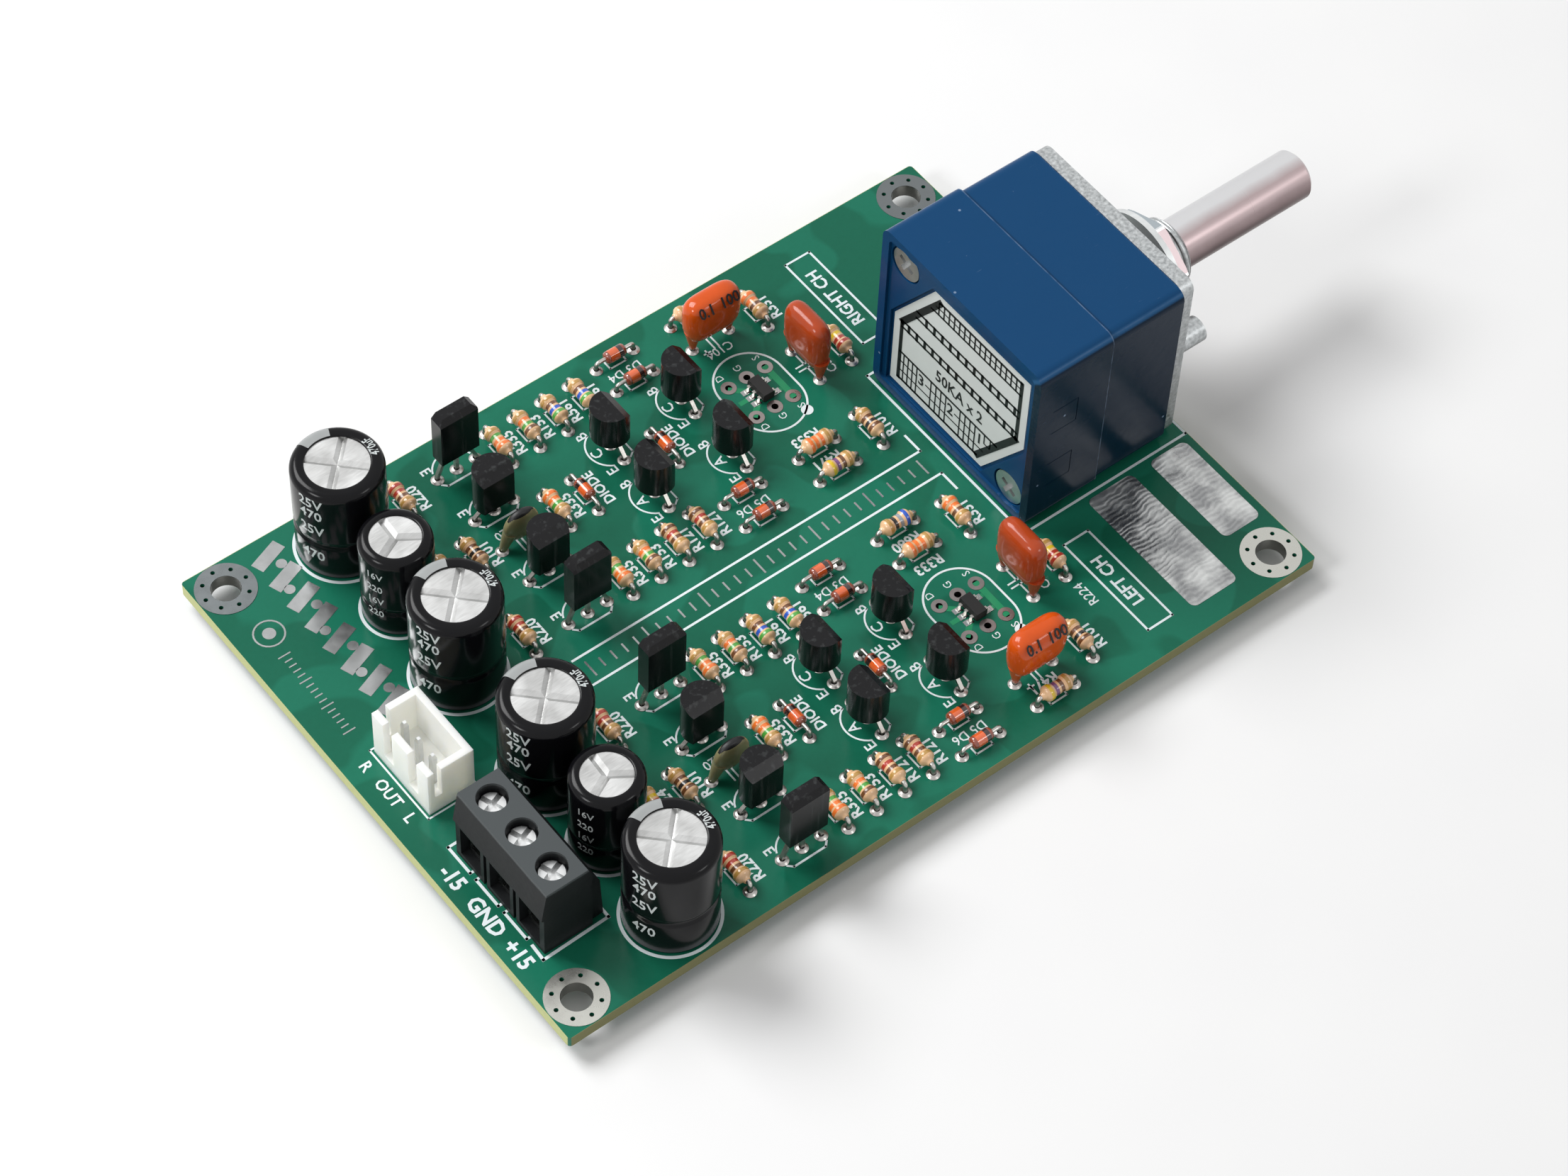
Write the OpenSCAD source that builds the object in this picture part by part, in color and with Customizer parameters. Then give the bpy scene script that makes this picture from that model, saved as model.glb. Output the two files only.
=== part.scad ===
// Stereo preamplifier board: a drilled circuit board with two mirrored channels of
// through-hole parts, a wire terminal block, an output header and a dual volume control.
// X runs along the board towards the control's shaft, Y across it, Z up.
// The origin is the centre of the four mounting holes, on the underside of the board.

/* [Circuit board] */
// Length of the board
board_l = 100; // [99:0.5:104]
// Width of the board
board_w = 70; // [69:0.5:76]
// Thickness of the board
board_t = 1.6; // [1.2:0.1:2]
// Radius of the board's corners
board_corner_r = 0.5; // [0.2:0.1:1.5]
// Distance of the mounting holes from the edges
hole_inset = 3.5; // [3.5:0.1:4]
// Diameter of the mounting holes
hole_d = 3.4; // [3:0.1:3.8]
// Outer diameter of the tinned land round a mounting hole
land_d = 6.8; // [6.4:0.1:7]
// Diameter of the small plated holes in a land
via_d = 0.5; // [0.3:0.1:0.7]
// Number of small plated holes in a land
via_count = 8; // [4:1:12]
// Thickness of a tinned land
tin_t = 0.06; // [0.04:0.01:0.1]

/* [Soldering] */
// Clearance between pieces that sit in each other
fit = 0.02; // [0.01:0.01:0.04]
// Diameter of the pad round a small lead
pad_d = 1.5; // [1.4:0.05:1.7]
// Diameter of the pads of the dual transistors' adapters
adapter_pad_d = 1.8; // [1.6:0.1:2]
// Diameter of the drilling for a small lead
drill_d = 1; // [0.9:0.05:1.1]
// Height of a solder cone under the board
solder_drop = 0.9; // [0.6:0.1:1.1]
// Height of a solder fillet on top of the board
solder_rise = 0.3; // [0.2:0.05:0.45]
// Length of a small lead under the board
lead_drop = 1.2; // [1:0.1:1.4]
// Length of a connector pin or control tag under the board
pin_drop = 1.8; // [1.6:0.1:2.4]
// Hole spacing of the small parts
lead_pitch = 5.08; // [5:0.02:5.3]
// Hole spacing of the transistors
leg_pitch = 2.54; // [2.5:0.02:2.6]

/* [Channels] */
// Distance of a channel's middle from the long edge of the board
channel_inset = 16.5; // [16.2:0.1:16.8]
// How far the pair of channels sits towards the left channel
channel_shift = 0.5; // [0:0.1:1]

/* [Resistors] */
// Length of a resistor between its painted ends
resistor_l = 3.6; // [3:0.1:3.8]
// Length of the paint that runs out along each lead
resistor_paint = 0.3; // [0.1:0.05:0.35]
// Diameter of a resistor's end caps
resistor_d = 1.9; // [1.6:0.1:2.2]
// Diameter of a resistor between its caps
resistor_waist_d = 1.56; // [1.2:0.02:1.58]
// Height of a resistor's axis over the board
resistor_z = 1.5; // [1.2:0.1:2]
// Diameter of a resistor's lead
resistor_lead_d = 0.55; // [0.4:0.05:0.6]

/* [Diodes] */
// Length of a diode's glass
diode_l = 2.7; // [2.2:0.1:3.2]
// Diameter of a diode's glass
diode_d = 1.5; // [1.2:0.1:1.8]
// Height of a diode's axis over the board
diode_z = 1.2; // [1:0.1:1.8]
// Diameter of a diode's lead
diode_lead_d = 0.5; // [0.4:0.05:0.6]

/* [Small transistors] */
// Radius of a small transistor's round side
small_r = 2.3; // [2:0.1:2.5]
// Distance from the centre to its flat side
small_flat = 1.25; // [1:0.05:1.6]
// Height of its moulding
small_h = 4.6; // [4:0.1:5.2]
// Height of the moulding's underside over the board
small_z = 2.4; // [1.6:0.1:3]
// Width of a transistor leg
leg_w = 0.45; // [0.35:0.05:0.5]

/* [Driver transistors] */
// Radius of a driver's round side
driver_r = 2.3; // [2:0.1:2.4]
// Distance from its legs to the flat face
driver_front = 1.15; // [0.9:0.05:1.4]
// Height of a driver's moulding
driver_h = 5.4; // [4.6:0.1:6]
// Height of a driver's underside over the board
driver_z = 1.9; // [1.5:0.1:2.6]

/* [Output transistors] */
// Width of an output transistor's slab
output_w = 4.9; // [4.2:0.1:5.2]
// Thickness of the slab
output_t = 1.8; // [1.5:0.1:2.4]
// Height of the slab
output_h = 7.2; // [6:0.1:8.5]
// Height of the slab's underside over the board
output_z = 3.4; // [2.6:0.1:4]

/* [Film capacitors] */
// Width of an input capacitor
input_cap_w = 7.2; // [6.4:0.1:7.6]
// Thickness of an input capacitor
input_cap_t = 3.4; // [2.6:0.1:3.6]
// Height of an input capacitor's top over the board
input_cap_h = 8.2; // [7:0.1:9.5]
// Width of a filter capacitor
filter_cap_w = 6.6; // [6:0.1:7]
// Thickness of a filter capacitor
filter_cap_t = 2.9; // [2.4:0.1:3.1]
// Height of a filter capacitor's top over the board
filter_cap_h = 9; // [7.5:0.1:10]
// Clear height under a dipped capacitor
dip_gap = 0.6; // [0.5:0.05:1]
// Diameter of a dipped capacitor's lead
dip_lead_d = 0.6; // [0.5:0.05:0.6]

/* [Ceramic capacitors] */
// Diameter of a ceramic capacitor's disc
ceramic_d = 4.4; // [4:0.1:4.8]
// Thickness of the disc
ceramic_t = 1.6; // [1.2:0.1:2]
// Height of the disc's centre over the board
ceramic_z = 3.1; // [2.9:0.1:3.6]

/* [Electrolytic capacitors] */
// Distance of the electrolytic capacitors from the board's edge
can_inset = 17; // [16.8:0.1:17.4]
// Diameter of a reservoir capacitor over its sleeve
large_cap_d = 10.2; // [9:0.1:10.3]
// Height of a reservoir capacitor over the board
large_cap_h = 14.2; // [11:0.1:18]
// Spacing of a reservoir capacitor's leads
large_cap_pitch = 5; // [4:0.1:5.4]
// Diameter of a coupling capacitor over its sleeve
small_cap_d = 8.1; // [7.4:0.1:8.3]
// Height of a coupling capacitor over the board
small_cap_h = 12.5; // [10:0.1:16]
// Spacing of a coupling capacitor's leads
small_cap_pitch = 3.5; // [3:0.1:3.8]
// Thickness of a shrunk sleeve
sleeve_t = 0.18; // [0.14:0.01:0.25]
// Gap under a can
can_gap = 0.3; // [0.2:0.05:0.5]
// Width of the V-shaped vents in the top
vent_w = 1; // [0.6:0.05:1.2]
// Depth of the vents
vent_deep = 0.35; // [0.2:0.05:0.5]
// Diameter of a can's lead
can_lead_d = 0.6; // [0.5:0.05:0.7]

/* [Output header] */
// Length of the header across the board
header_w = 9.9; // [9.6:0.1:10.4]
// Depth of the header along the board
header_l = 5.75; // [5.4:0.05:6]
// Height of the header's walls
header_h = 7; // [6:0.1:8]
// Thickness of the header's walls
header_wall = 0.8; // [0.6:0.05:0.9]
// Thickness of the header's floor
header_floor = 1.4; // [1:0.1:2]
// Distance from the header to the board's edge
header_inset = 4.25; // [3.8:0.05:4.5]
// Width of the pins
header_pin_w = 0.64; // [0.5:0.02:0.7]
// Spacing of the pins
header_pitch = 2.5; // [2.4:0.02:2.54]
// Distance from the slotted wall's face to the pins
header_pin_x = 2.35; // [2.2:0.05:2.6]
// Height of the pins' tips over the board
header_pin_h = 6.2; // [5.4:0.1:6.6]

/* [Terminal block] */
// Spacing of the terminals
clamp_pitch = 5.08; // [5:0.02:5.2]
// Depth of the block at the board
block_l = 8; // [7.8:0.1:8.4]
// Height of the block
block_h = 10.6; // [10.2:0.1:12]
// Distance from the block to the board's edge
block_inset = 3.6; // [3.2:0.1:4]
// Gap between the block and the mounting land beside it
block_gap = 2.58; // [2.3:0.02:2.8]
// Width of a wire entry
entry_w = 3.5; // [3.3:0.05:3.6]
// Diameter of a clamp screw's head
screw_head_d = 3.2; // [3:0.05:3.4]
// Diameter of a clamp screw's thread
screw_d = 2.4; // [2:0.1:2.5]
// Rise of a clamp for the whole turning of its screw
clamp_rise = 2; // [1.6:0.1:2]

/* [Volume control] */
// Width of the control's case
case_w = 26.4; // [25.8:0.2:26.8]
// Height of the case
case_h = 25.2; // [24.8:0.1:25.8]
// Length of the front section of the case
front_case_l = 10; // [9.6:0.1:10.4]
// Length of the rear section of the case
rear_case_l = 7.8; // [7.6:0.1:8.4]
// Thickness of the rear cover
cover_t = 2.2; // [2:0.1:2.6]
// Radius of the case's edges
case_r = 1.3; // [0.6:0.1:2]
// Inset of the front section's sides and top from the rear section's
case_step = 0.3; // [0.1:0.05:0.5]
// Width of the rim round the rear cover
cover_rim = 1.1; // [0.8:0.1:1.2]
// Depth of the field inside that rim
cover_sink = 0.35; // [0.2:0.05:0.4]
// Height of the control over the board
control_gap = 0.3; // [0.2:0.05:0.5]
// Thickness of the front plate
plate_t = 1.7; // [1.5:0.1:2.4]
// Inset of the front plate's sides from the case's
plate_side_inset = 0.8; // [0.4:0.05:0.9]
// Height by which the front plate stands over the front section
plate_over = 0.15; // [0:0.05:0.5]
// Distance from the plate's face to the board's edge
plate_inset = 1.3; // [0.5:0.1:1.6]
// Height of the shaft over the board
shaft_z = 13.2; // [13:0.1:13.4]
// Diameter of the shaft
shaft_d = 6; // [5.6:0.1:6.2]
// Diameter of the shaft inside the bushing
journal_d = 5.5; // [5.2:0.1:5.5]
// Length of the shaft from the plate's face
shaft_l = 27.3; // [18:0.1:40]
// Diameter of the threaded bushing
bush_d = 8; // [7.6:0.1:9]
// Length of the threaded bushing
bush_l = 8.7; // [8:0.1:10]
// Radial clearance of the shaft in the bushing
shaft_play = 0.05; // [0.02:0.01:0.08]
// Diameter of the locating pin
peg_d = 3; // [2.4:0.1:3.4]
// Length of the locating pin
peg_l = 3.8; // [2:0.1:4.2]
// Distance of the locating pin from the shaft
peg_y = 10.4; // [9.8:0.1:11]
// Size of the nut across its flats
nut_flats = 10.4; // [10:0.1:12]
// Thickness of the nut
nut_t = 1.6; // [1.4:0.1:2.2]
// Length of thread left in front of the nut
nut_back = 2.1; // [1.6:0.1:2.6]
// Diameter of the washer
washer_d = 13.4; // [12.6:0.1:14]
// Thickness of the washer
washer_t = 0.7; // [0.4:0.1:1]
// Turn of the shaft from stop to stop, in degrees
shaft_turn = 300; // [260:10:310]

/* [Hidden] */
$fn = 48;
e = 0.1;

// Board edges and heights
edge_x = board_l / 2;
edge_y = board_w / 2;
can_x = -edge_x + can_inset;
hole_x = edge_x - hole_inset;
hole_y = edge_y - hole_inset;
via_r = (land_d + hole_d) / 4;
lead_tip = -lead_drop;
pin_tip = -pin_drop;

// Places of the parts, drawn for a board of laid_w with laid_l between the middle of the
// capacitors and the control: X from that middle, Y from the middle of the channel
channel_y = [edge_y - channel_inset - channel_shift, channel_inset - edge_y - channel_shift];
laid_l = 60;
laid_w = 70;
column_x = 20.8;
column_pitch = 3.75;
top_row_y = 11.5;
middle_row_y = 0.8;
bottom_row_y = -10.5;
supply_x = 8;
gate_x = 9.9;
bleed_x = 6.1;
input_x = 55;
leak_x = 59.5;
flat_x = 48.7;
upright_resistors = concat(
    [for (i = [0:3], y = [top_row_y, bottom_row_y]) [column_x + i * column_pitch, y]],
    [[column_x, middle_row_y], [supply_x, top_row_y], [supply_x, bottom_row_y]],
    [[gate_x, middle_row_y], [bleed_x, middle_row_y], [leak_x, middle_row_y]]);
input_resistors = [[[input_x, 10.2], [input_x, -10.5]], [[input_x, 11.4], [input_x, -9.1]]];
lying_y = [[14, -9.2, -13], [14, 10.2, -13]];
input_cap_y = [10, -9.3];
signal_diodes = [[column_x + column_pitch, middle_row_y], [35.4, middle_row_y]];
bias_diode_x = 38.4;
bias_diode_y = [14, 10.2, -9.3, -13.1];
small_places = [[30.9, 4.7], [30.9, -3.4], [41, 5.2], [41, -4.1]];
power_x = 15.5;
driver_y = [5, -5];
output_y = [12, -12];
ceramic_place = [power_x, 0];
filter_place = [input_x, middle_row_y];
fet_place = [flat_x, middle_row_y];
reservoir_y = [11.1, -10.2];
coupling_y = 0.6;

// Tinned panels beside the control
wide_panel_w = 6.4;
narrow_panel_w = 5.2;
wide_panel_inset = 11.9;
narrow_panel_inset = 3.6;
panel_gap = 1.1;
panel_edge = 2.9;
panel_land_gap = 1;
panel_r = 0.8;

// Bigger joints
pin_drill_d = 1.2;
tag_drill_d = 1.6;
pin_pad_d = 2.2;
tag_pad_d = 2.8;
joint_drop = 1.3;

// Header
header_x = -edge_x + header_inset;
header_pins_x = header_x + header_pin_x;
header_slot_w = 1.6;
header_slot_y = 2.2;
header_slot_z = 1.6;
header_notch_w = 0.9;
header_notch_z = 2.6;

// Terminal block
block_x = -edge_x + block_inset;
block_w = 3 * clamp_pitch;
block_y = hole_y - land_d / 2 - block_gap - block_w / 2;
knee_z = 6.4;
deck_front = 0.7;
deck_l = 5.1;
back_lean = 0.4;
toe = 0.3;
shoulder_l = 6.3;
shoulder_in = 0.4;
groove_w = 0.5;
groove_deep = 1.4;
chamber_x = 1.1;
chamber_l = 4.2;
chamber_floor = 0.8;
cage_play = 0.15;
cage_h = 4.8;
cage_side = 0.5;
cage_sill = 0.8;
cage_window = 2.7;
cage_seat = 0.1;
ledge_t = 0.6;
ledge_z = chamber_floor + cage_seat + cage_h + clamp_rise + cage_seat;
screw_head_h = 1;
screw_slot_w = 0.6;
screw_slot_deep = 0.6;
contact_t = 0.5;
contact_w = 1.8;
tail_w = 1;
contact_z = chamber_floor + cage_seat + cage_sill + cage_window - contact_t - cage_seat;
screw_x = block_x + chamber_x + chamber_l / 2;
entry_h = 4.6;

// Volume control
face_x = edge_x - plate_inset;
case_x = face_x - plate_t;
joint_x = case_x - front_case_l;
rear_x = joint_x - rear_case_l;
cover_x = rear_x - cover_t;
case_z = board_t + control_gap;
axis_z = board_t + shaft_z;
case_mid_z = case_z + case_h / 2;
bore_r = 10.4;
wafer_r = 11.1;
wafer_t = 1.2;
track_t = 0.05;
track_in = [5.4, 6.4];
track_out = [8, 9.2];
wiper_gap = 0.05;
wiper_t = 0.3;
rotor_gap = 1.4;
rotor_t = 1.6;
rotor_r = 9.3;
drive_d = 4;
drive_flats = 3.2;
hub_d = 8;
boss_t = 0.3;
boss_d = 10;
collar_d = 12;
collar_t = 1.2;
nut_x = face_x + bush_l - nut_back - nut_t;
clip_t = 0.5;
clip_d = 9;
clip_neck_d = 4.8;
clip_gap = 0.2;
clip_x = case_x - boss_t - clip_gap - clip_t;
shoulder_x = clip_x - 0.8;
shaft_gap = 0.2;
shaft_end_x = face_x + shaft_l;
stop_gap = 1;
lug_angle = 20;
lug_r = 10.2;
stop_angle = 360 - shaft_turn - lug_angle - 2 * stop_gap;
case_screw_y = case_w / 2 - 3.6;
case_screw_z = case_h / 2 - 3.2;
case_screw_d = 2.5;
case_screw_head_d = 4.2;
case_screw_head_h = 1.2;
head_sink = 0.45;
cross_l = 2.4;
cross_w = 0.6;
cross_deep = 0.7;
tag_w = 1.1;
tag_t = 0.4;
tag_pitch = 5;
tag_play = 0.2;
tag_slot_h = 6;
tag_r = 9.9;
label_w = case_w - 4.4;
label_h = case_h - 4.8;
label_low = 0.7;
label_cut_y = 6.2;
label_cut_z = 9.4;
label_t = 0.12;
cover_field_r = 0.7;
label_sink = 0.75;
label_rim = 0.4;
latch_l = 3.4;
latch_h = 3.6;
latch_t = 0.8;
latch_play = 0.1;
latch_z = [-5, 4];

// Places
module at_mounting_holes() {
    for (x = [-hole_x, hole_x], y = [-hole_y, hole_y]) translate([x, y, 0]) children();
}

module each_channel() {
    for ($side = [0, 1]) translate([0, channel_y[$side], 0]) children();
}

module spot(p) {
    translate([can_x + p[0] * (cover_x - can_x) / laid_l, p[1] * board_w / laid_w]) children();
}

module at_pair(pitch) {
    for (s = [-1, 1]) translate([0, s * pitch / 2, 0]) rotate([0, 0, s > 0 ? 0 : 180]) children();
}

module at_resistors() {
    each_channel() {
        for (p = concat(upright_resistors, input_resistors[$side])) spot(p) children();
        for (y = lying_y[$side]) spot([flat_x, y]) rotate([0, 0, 90]) children();
    }
}

module at_signal_diodes() {
    each_channel() for (p = signal_diodes) spot(p) children();
}

module at_bias_diodes() {
    each_channel() for (y = bias_diode_y) spot([bias_diode_x, y]) rotate([0, 0, 90]) children();
}

module at_small_transistors() {
    each_channel() for (p = small_places) spot(p) children();
}

module at_power(places) {
    each_channel() for (y = places) spot([power_x, y]) children();
}

module at_input_caps() {
    each_channel() spot([flat_x, input_cap_y[$side]]) rotate([0, 0, 90]) children();
}

module at_filter_caps() {
    each_channel() spot(filter_place) children();
}

module at_ceramics() {
    each_channel() spot(ceramic_place) rotate([0, 0, 90]) children();
}

module at_fets() {
    each_channel() spot(fet_place) children();
}

module at_reservoirs() {
    each_channel() for (y = reservoir_y) spot([0, y]) children();
}

module at_couplings() {
    each_channel() spot([0, coupling_y]) children();
}

module at_adapter_holes() {
    at_fets() for (i = [-1:1], j = [-1, 1]) translate([i * leg_pitch, j * leg_pitch]) children();
}

module at_small_leads() {
    at_resistors() at_pair(lead_pitch) children();
    at_signal_diodes() at_pair(lead_pitch) children();
    at_bias_diodes() at_pair(lead_pitch) children();
    at_small_transistors() for (i = [-1:1]) translate([0, i * leg_pitch]) children();
    at_power(concat(driver_y, output_y)) for (i = [-1:1]) translate([i * leg_pitch, 0]) children();
    at_input_caps() at_pair(lead_pitch) children();
    at_filter_caps() at_pair(lead_pitch) children();
    at_ceramics() at_pair(lead_pitch) children();
    at_reservoirs() at_pair(large_cap_pitch) children();
    at_couplings() at_pair(small_cap_pitch) children();
}

module at_header_pins() {
    for (i = [-1:1]) translate([header_pins_x, i * header_pitch]) children();
}

module at_terminals() {
    for (i = [1:3]) translate([block_x, -block_y + (2 - i) * clamp_pitch, 0]) children();
}

module at_tails() {
    at_terminals() translate([chamber_x + chamber_l + contact_t, 0]) children();
}

module at_tags() {
    for (x = [rear_x, joint_x], i = [-1:1])
        translate([x + wafer_t + fit + tag_t / 2, i * tag_pitch]) children();
}

module along_shaft(x) {
    translate([x, 0, axis_z]) rotate([0, 90, 0]) children();
}

module at_case_screws(x) {
    for (s = [-1, 1]) translate([x, s * case_screw_y, case_mid_z + s * case_screw_z])
        rotate([0, 90, 0]) children();
}

// Shared shapes
module round_plate(l, w, h, r) {
    translate([-l / 2, -w / 2 + r, 0]) cube([l, w - 2 * r, h]);
    translate([-l / 2 + r, -w / 2, 0]) cube([l - 2 * r, w, h]);
    for (x = [-1, 1], y = [-1, 1]) translate([x * (l / 2 - r), y * (w / 2 - r), 0]) cylinder(r = r, h = h);
}

module drilling(d) {
    translate([0, 0, -e]) cylinder(d = d, h = board_t + 2 * e);
}

module joint(bore_d, hole_d, pad, drop, upper) {
    in = bore_d / 2 + fit;
    barrel = hole_d / 2 - fit;
    out = pad / 2;
    lower = [[in, -drop], [out, -tin_t], [out, 0], [barrel, 0], [barrel, board_t]];
    rotate_extrude() polygon(concat(lower, upper > 0
        ? [[out, board_t], [out, board_t + tin_t], [(in + out) / 2, board_t + upper * 0.7],
            [in, board_t + upper]]
        : [[in, board_t]]));
}

module bent_lead(reach, height, d) {
    bend = 0.4;
    rotate([-90, 0, 0]) cylinder(d = d, h = reach - bend);
    translate([0, reach - bend, -bend]) rotate([90, 0, 90]) rotate_extrude(angle = 90)
        translate([bend, 0]) circle(d = d);
    translate([0, reach, -height]) cylinder(d = d, h = height - bend);
}

module bent_pair(body_l, z, d) {
    for (a = [0, 180]) rotate([0, 0, a]) translate([0, body_l / 2, board_t + z])
        bent_lead((lead_pitch - body_l) / 2, board_t + z - lead_tip, d);
}

module leg(from, to, top_z) {
    half = leg_w / 2;
    bend_z = top_z - 0.4;
    low_z = board_t + 0.7;
    rotate([90, 0, 90]) linear_extrude(leg_w, center = true)
        polygon([[from - half, top_z], [from + half, top_z], [from + half, bend_z], [to + half, low_z],
            [to + half, lead_tip], [to - half, lead_tip], [to - half, low_z], [from - half, bend_z]]);
}

module legs(body_step, top_z) {
    for (i = [-1:1]) leg(i * body_step, i * leg_pitch, top_z);
}

// Circuit board and its tinned lands
module circuit_board() {
    color("seagreen") difference() {
        round_plate(board_l, board_w, board_t, board_corner_r);
        at_mounting_holes() {
            drilling(hole_d);
            vias();
        }
        at_small_leads() drilling(drill_d);
        at_adapter_holes() drilling(drill_d);
        at_header_pins() drilling(pin_drill_d);
        at_tails() drilling(tag_drill_d);
        at_tags() drilling(tag_drill_d);
    }
}

module vias() {
    for (i = [1:via_count]) rotate([0, 0, i * 360 / via_count]) translate([via_r, 0, 0]) drilling(via_d);
}

module mounting_lands() {
    color("silver") at_mounting_holes() for (z = [-tin_t, board_t]) translate([0, 0, z]) difference() {
        cylinder(d = land_d, h = tin_t);
        drilling(hole_d);
        vias();
    }
}

module tinned_panels() {
    top_y = case_w / 2 + panel_gap;
    wide_l = edge_y - panel_edge - top_y;
    narrow_l = hole_y - land_d / 2 - panel_land_gap - top_y;
    color("silver") {
        translate([edge_x - wide_panel_inset, -top_y - wide_l / 2, board_t])
            round_plate(wide_panel_w, wide_l, tin_t, panel_r);
        translate([edge_x - narrow_panel_inset, -top_y - narrow_l / 2, board_t])
            round_plate(narrow_panel_w, narrow_l, tin_t, panel_r);
    }
}

module adapter_pads() {
    ring_d = 0.8;
    color("silver") at_adapter_holes() difference() {
        union() {
            for (z = [-tin_t, board_t]) translate([0, 0, z]) cylinder(d = adapter_pad_d, h = tin_t);
            cylinder(d = drill_d - 2 * fit, h = board_t);
        }
        drilling(ring_d);
    }
}

// Soldering
module solder_joints() {
    bore = max(can_lead_d, leg_w * sqrt(2));
    color("gainsboro") at_small_leads() joint(bore, drill_d, pad_d, solder_drop, solder_rise);
}

module connector_joints() {
    color("gainsboro") {
        at_header_pins() joint(header_pin_w * sqrt(2), pin_drill_d, pin_pad_d, joint_drop, 0);
        at_tails() joint(norm([tail_w, contact_t]), tag_drill_d, tag_pad_d, joint_drop, 0);
        at_tags() joint(norm([tag_w, tag_t]), tag_drill_d, tag_pad_d, joint_drop, 0);
    }
}

// Resistors
module resistor_bodies() {
    color("tan") at_resistors() translate([0, 0, board_t + resistor_z]) rotate([90, 0, 0]) {
        rotate_extrude() resistor_half();
        mirror([0, 0, 1]) rotate_extrude() resistor_half();
    }
}

module resistor_half() {
    r = resistor_d / 2;
    waist_r = resistor_waist_d / 2;
    end = resistor_l / 2;
    cap = end - 0.9;
    tip_r = 0.4;
    polygon([[0, 0], [waist_r, 0], [waist_r, cap - 0.35], [r, cap], [r, end - 0.5], [r - 0.12, end - 0.25],
        [tip_r + 0.15, end], [tip_r, end + resistor_paint], [0, end + resistor_paint]]);
}

module resistor_leads() {
    color("silver") at_resistors() bent_pair(resistor_l + 2 * resistor_paint, resistor_z, resistor_lead_d);
}

// Diodes
module diode_body() {
    r = diode_d / 2;
    h = diode_l / 2;
    translate([0, 0, board_t + diode_z]) rotate([90, 0, 0]) rotate_extrude()
        polygon([[0, -h], [r - 0.3, -h], [r - 0.08, -h + 0.18], [r, -h + 0.45], [r, h - 0.45],
            [r - 0.08, h - 0.18], [r - 0.3, h], [0, h]]);
}

module signal_diode_bodies() {
    color("chocolate") at_signal_diodes() diode_body();
}

module signal_diode_leads() {
    color("silver") at_signal_diodes() bent_pair(diode_l, diode_z, diode_lead_d);
}

module bias_diode_bodies() {
    color("orangered") at_bias_diodes() diode_body();
}

module bias_diode_leads() {
    color("silver") at_bias_diodes() bent_pair(diode_l, diode_z, diode_lead_d);
}

// Transistors
module small_transistors() {
    color("dimgray") at_small_transistors() translate([0, 0, board_t + small_z]) difference() {
        cylinder(r = small_r, h = small_h);
        translate([small_flat, -small_r - e, -e]) cube([small_r, 2 * small_r + 2 * e, small_h + 2 * e]);
        translate([small_flat, 0, small_h]) rotate([0, 0, 90]) front_bevel(0.9, 0.7, small_r);
    }
}

module small_transistor_legs() {
    color("silver") at_small_transistors() legs(1.27, board_t + small_z);
}

module front_bevel(deep, tall, reach) {
    rotate([90, 0, 90]) linear_extrude(2 * (reach + e), center = true)
        polygon([[deep, 0], [deep, e], [-e, e], [-e, -tall], [0, -tall]]);
}

module driver_transistors() {
    color("dimgray") at_power(driver_y) translate([0, 0, board_t + driver_z]) difference() {
        cylinder(r = driver_r, h = driver_h);
        translate([-driver_r - e, -2 * driver_r, -e])
            cube([2 * driver_r + 2 * e, 2 * driver_r - driver_front, driver_h + 2 * e]);
        translate([0, -driver_front, driver_h]) front_bevel(1.2, 0.8, driver_r);
    }
}

module driver_legs() {
    color("silver") at_power(driver_y) rotate([0, 0, 90]) legs(1.5, board_t + driver_z);
}

module output_transistors() {
    front = output_t / 2 + 0.1;
    half = output_w / 2;
    corner = 0.6;
    color("dimgray") at_power(output_y) translate([0, -front, board_t + output_z]) difference() {
        rotate([90, 0, 180]) linear_extrude(output_t)
            polygon([[-half, 0], [half, 0], [half, output_h - corner], [half - corner, output_h],
                [corner - half, output_h], [-half, output_h - corner]]);
        translate([0, 0, output_h]) front_bevel(0.5, 0.8, half);
    }
}

module output_legs() {
    color("silver") at_power(output_y) rotate([0, 0, 90]) legs(1.6, board_t + output_z);
}

// Dual input transistors on their adapter pads
fet_l = 2.9;
fet_w = 1.6;
fet_h = 1.1;
fet_z = 0.1;
fet_pitch = 0.95;
fet_leg_w = 0.4;
fet_leg_t = 0.15;
fet_reach = 0.65;
land_l = 1.1;

module input_fets() {
    slope = 0.12;
    side = fet_w / 2;
    color("dimgray") at_fets() translate([0, 0, board_t + tin_t + fet_z]) rotate([90, 0, 0])
        linear_extrude(fet_l, center = true)
        polygon([[slope - side, 0], [side - slope, 0], [side, fet_h / 2], [side - slope, fet_h],
            [slope - side, fet_h], [-side, fet_h / 2]]);
}

module at_fet_legs() {
    at_fets() {
        for (i = [-1:1]) translate([0, i * fet_pitch, 0]) rotate([0, 0, 180]) children();
        for (i = [-1, 1]) translate([0, i * fet_pitch, 0]) children();
    }
}

module input_fet_legs() {
    x = fet_w / 2;
    z = board_t + tin_t;
    mid = z + fet_z + fet_h / 2;
    bend = 0.3;
    low = mid - fet_leg_t / 2;
    high = mid + fet_leg_t / 2;
    inner = x + bend - fet_leg_t;
    color("silver") at_fet_legs() rotate([90, 0, 0]) linear_extrude(fet_leg_w, center = true)
        polygon([[x, low], [inner, low], [inner, z], [x + fet_reach, z], [x + fet_reach, z + fet_leg_t],
            [x + bend, z + fet_leg_t], [x + bend, high], [x, high]]);
}

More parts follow.
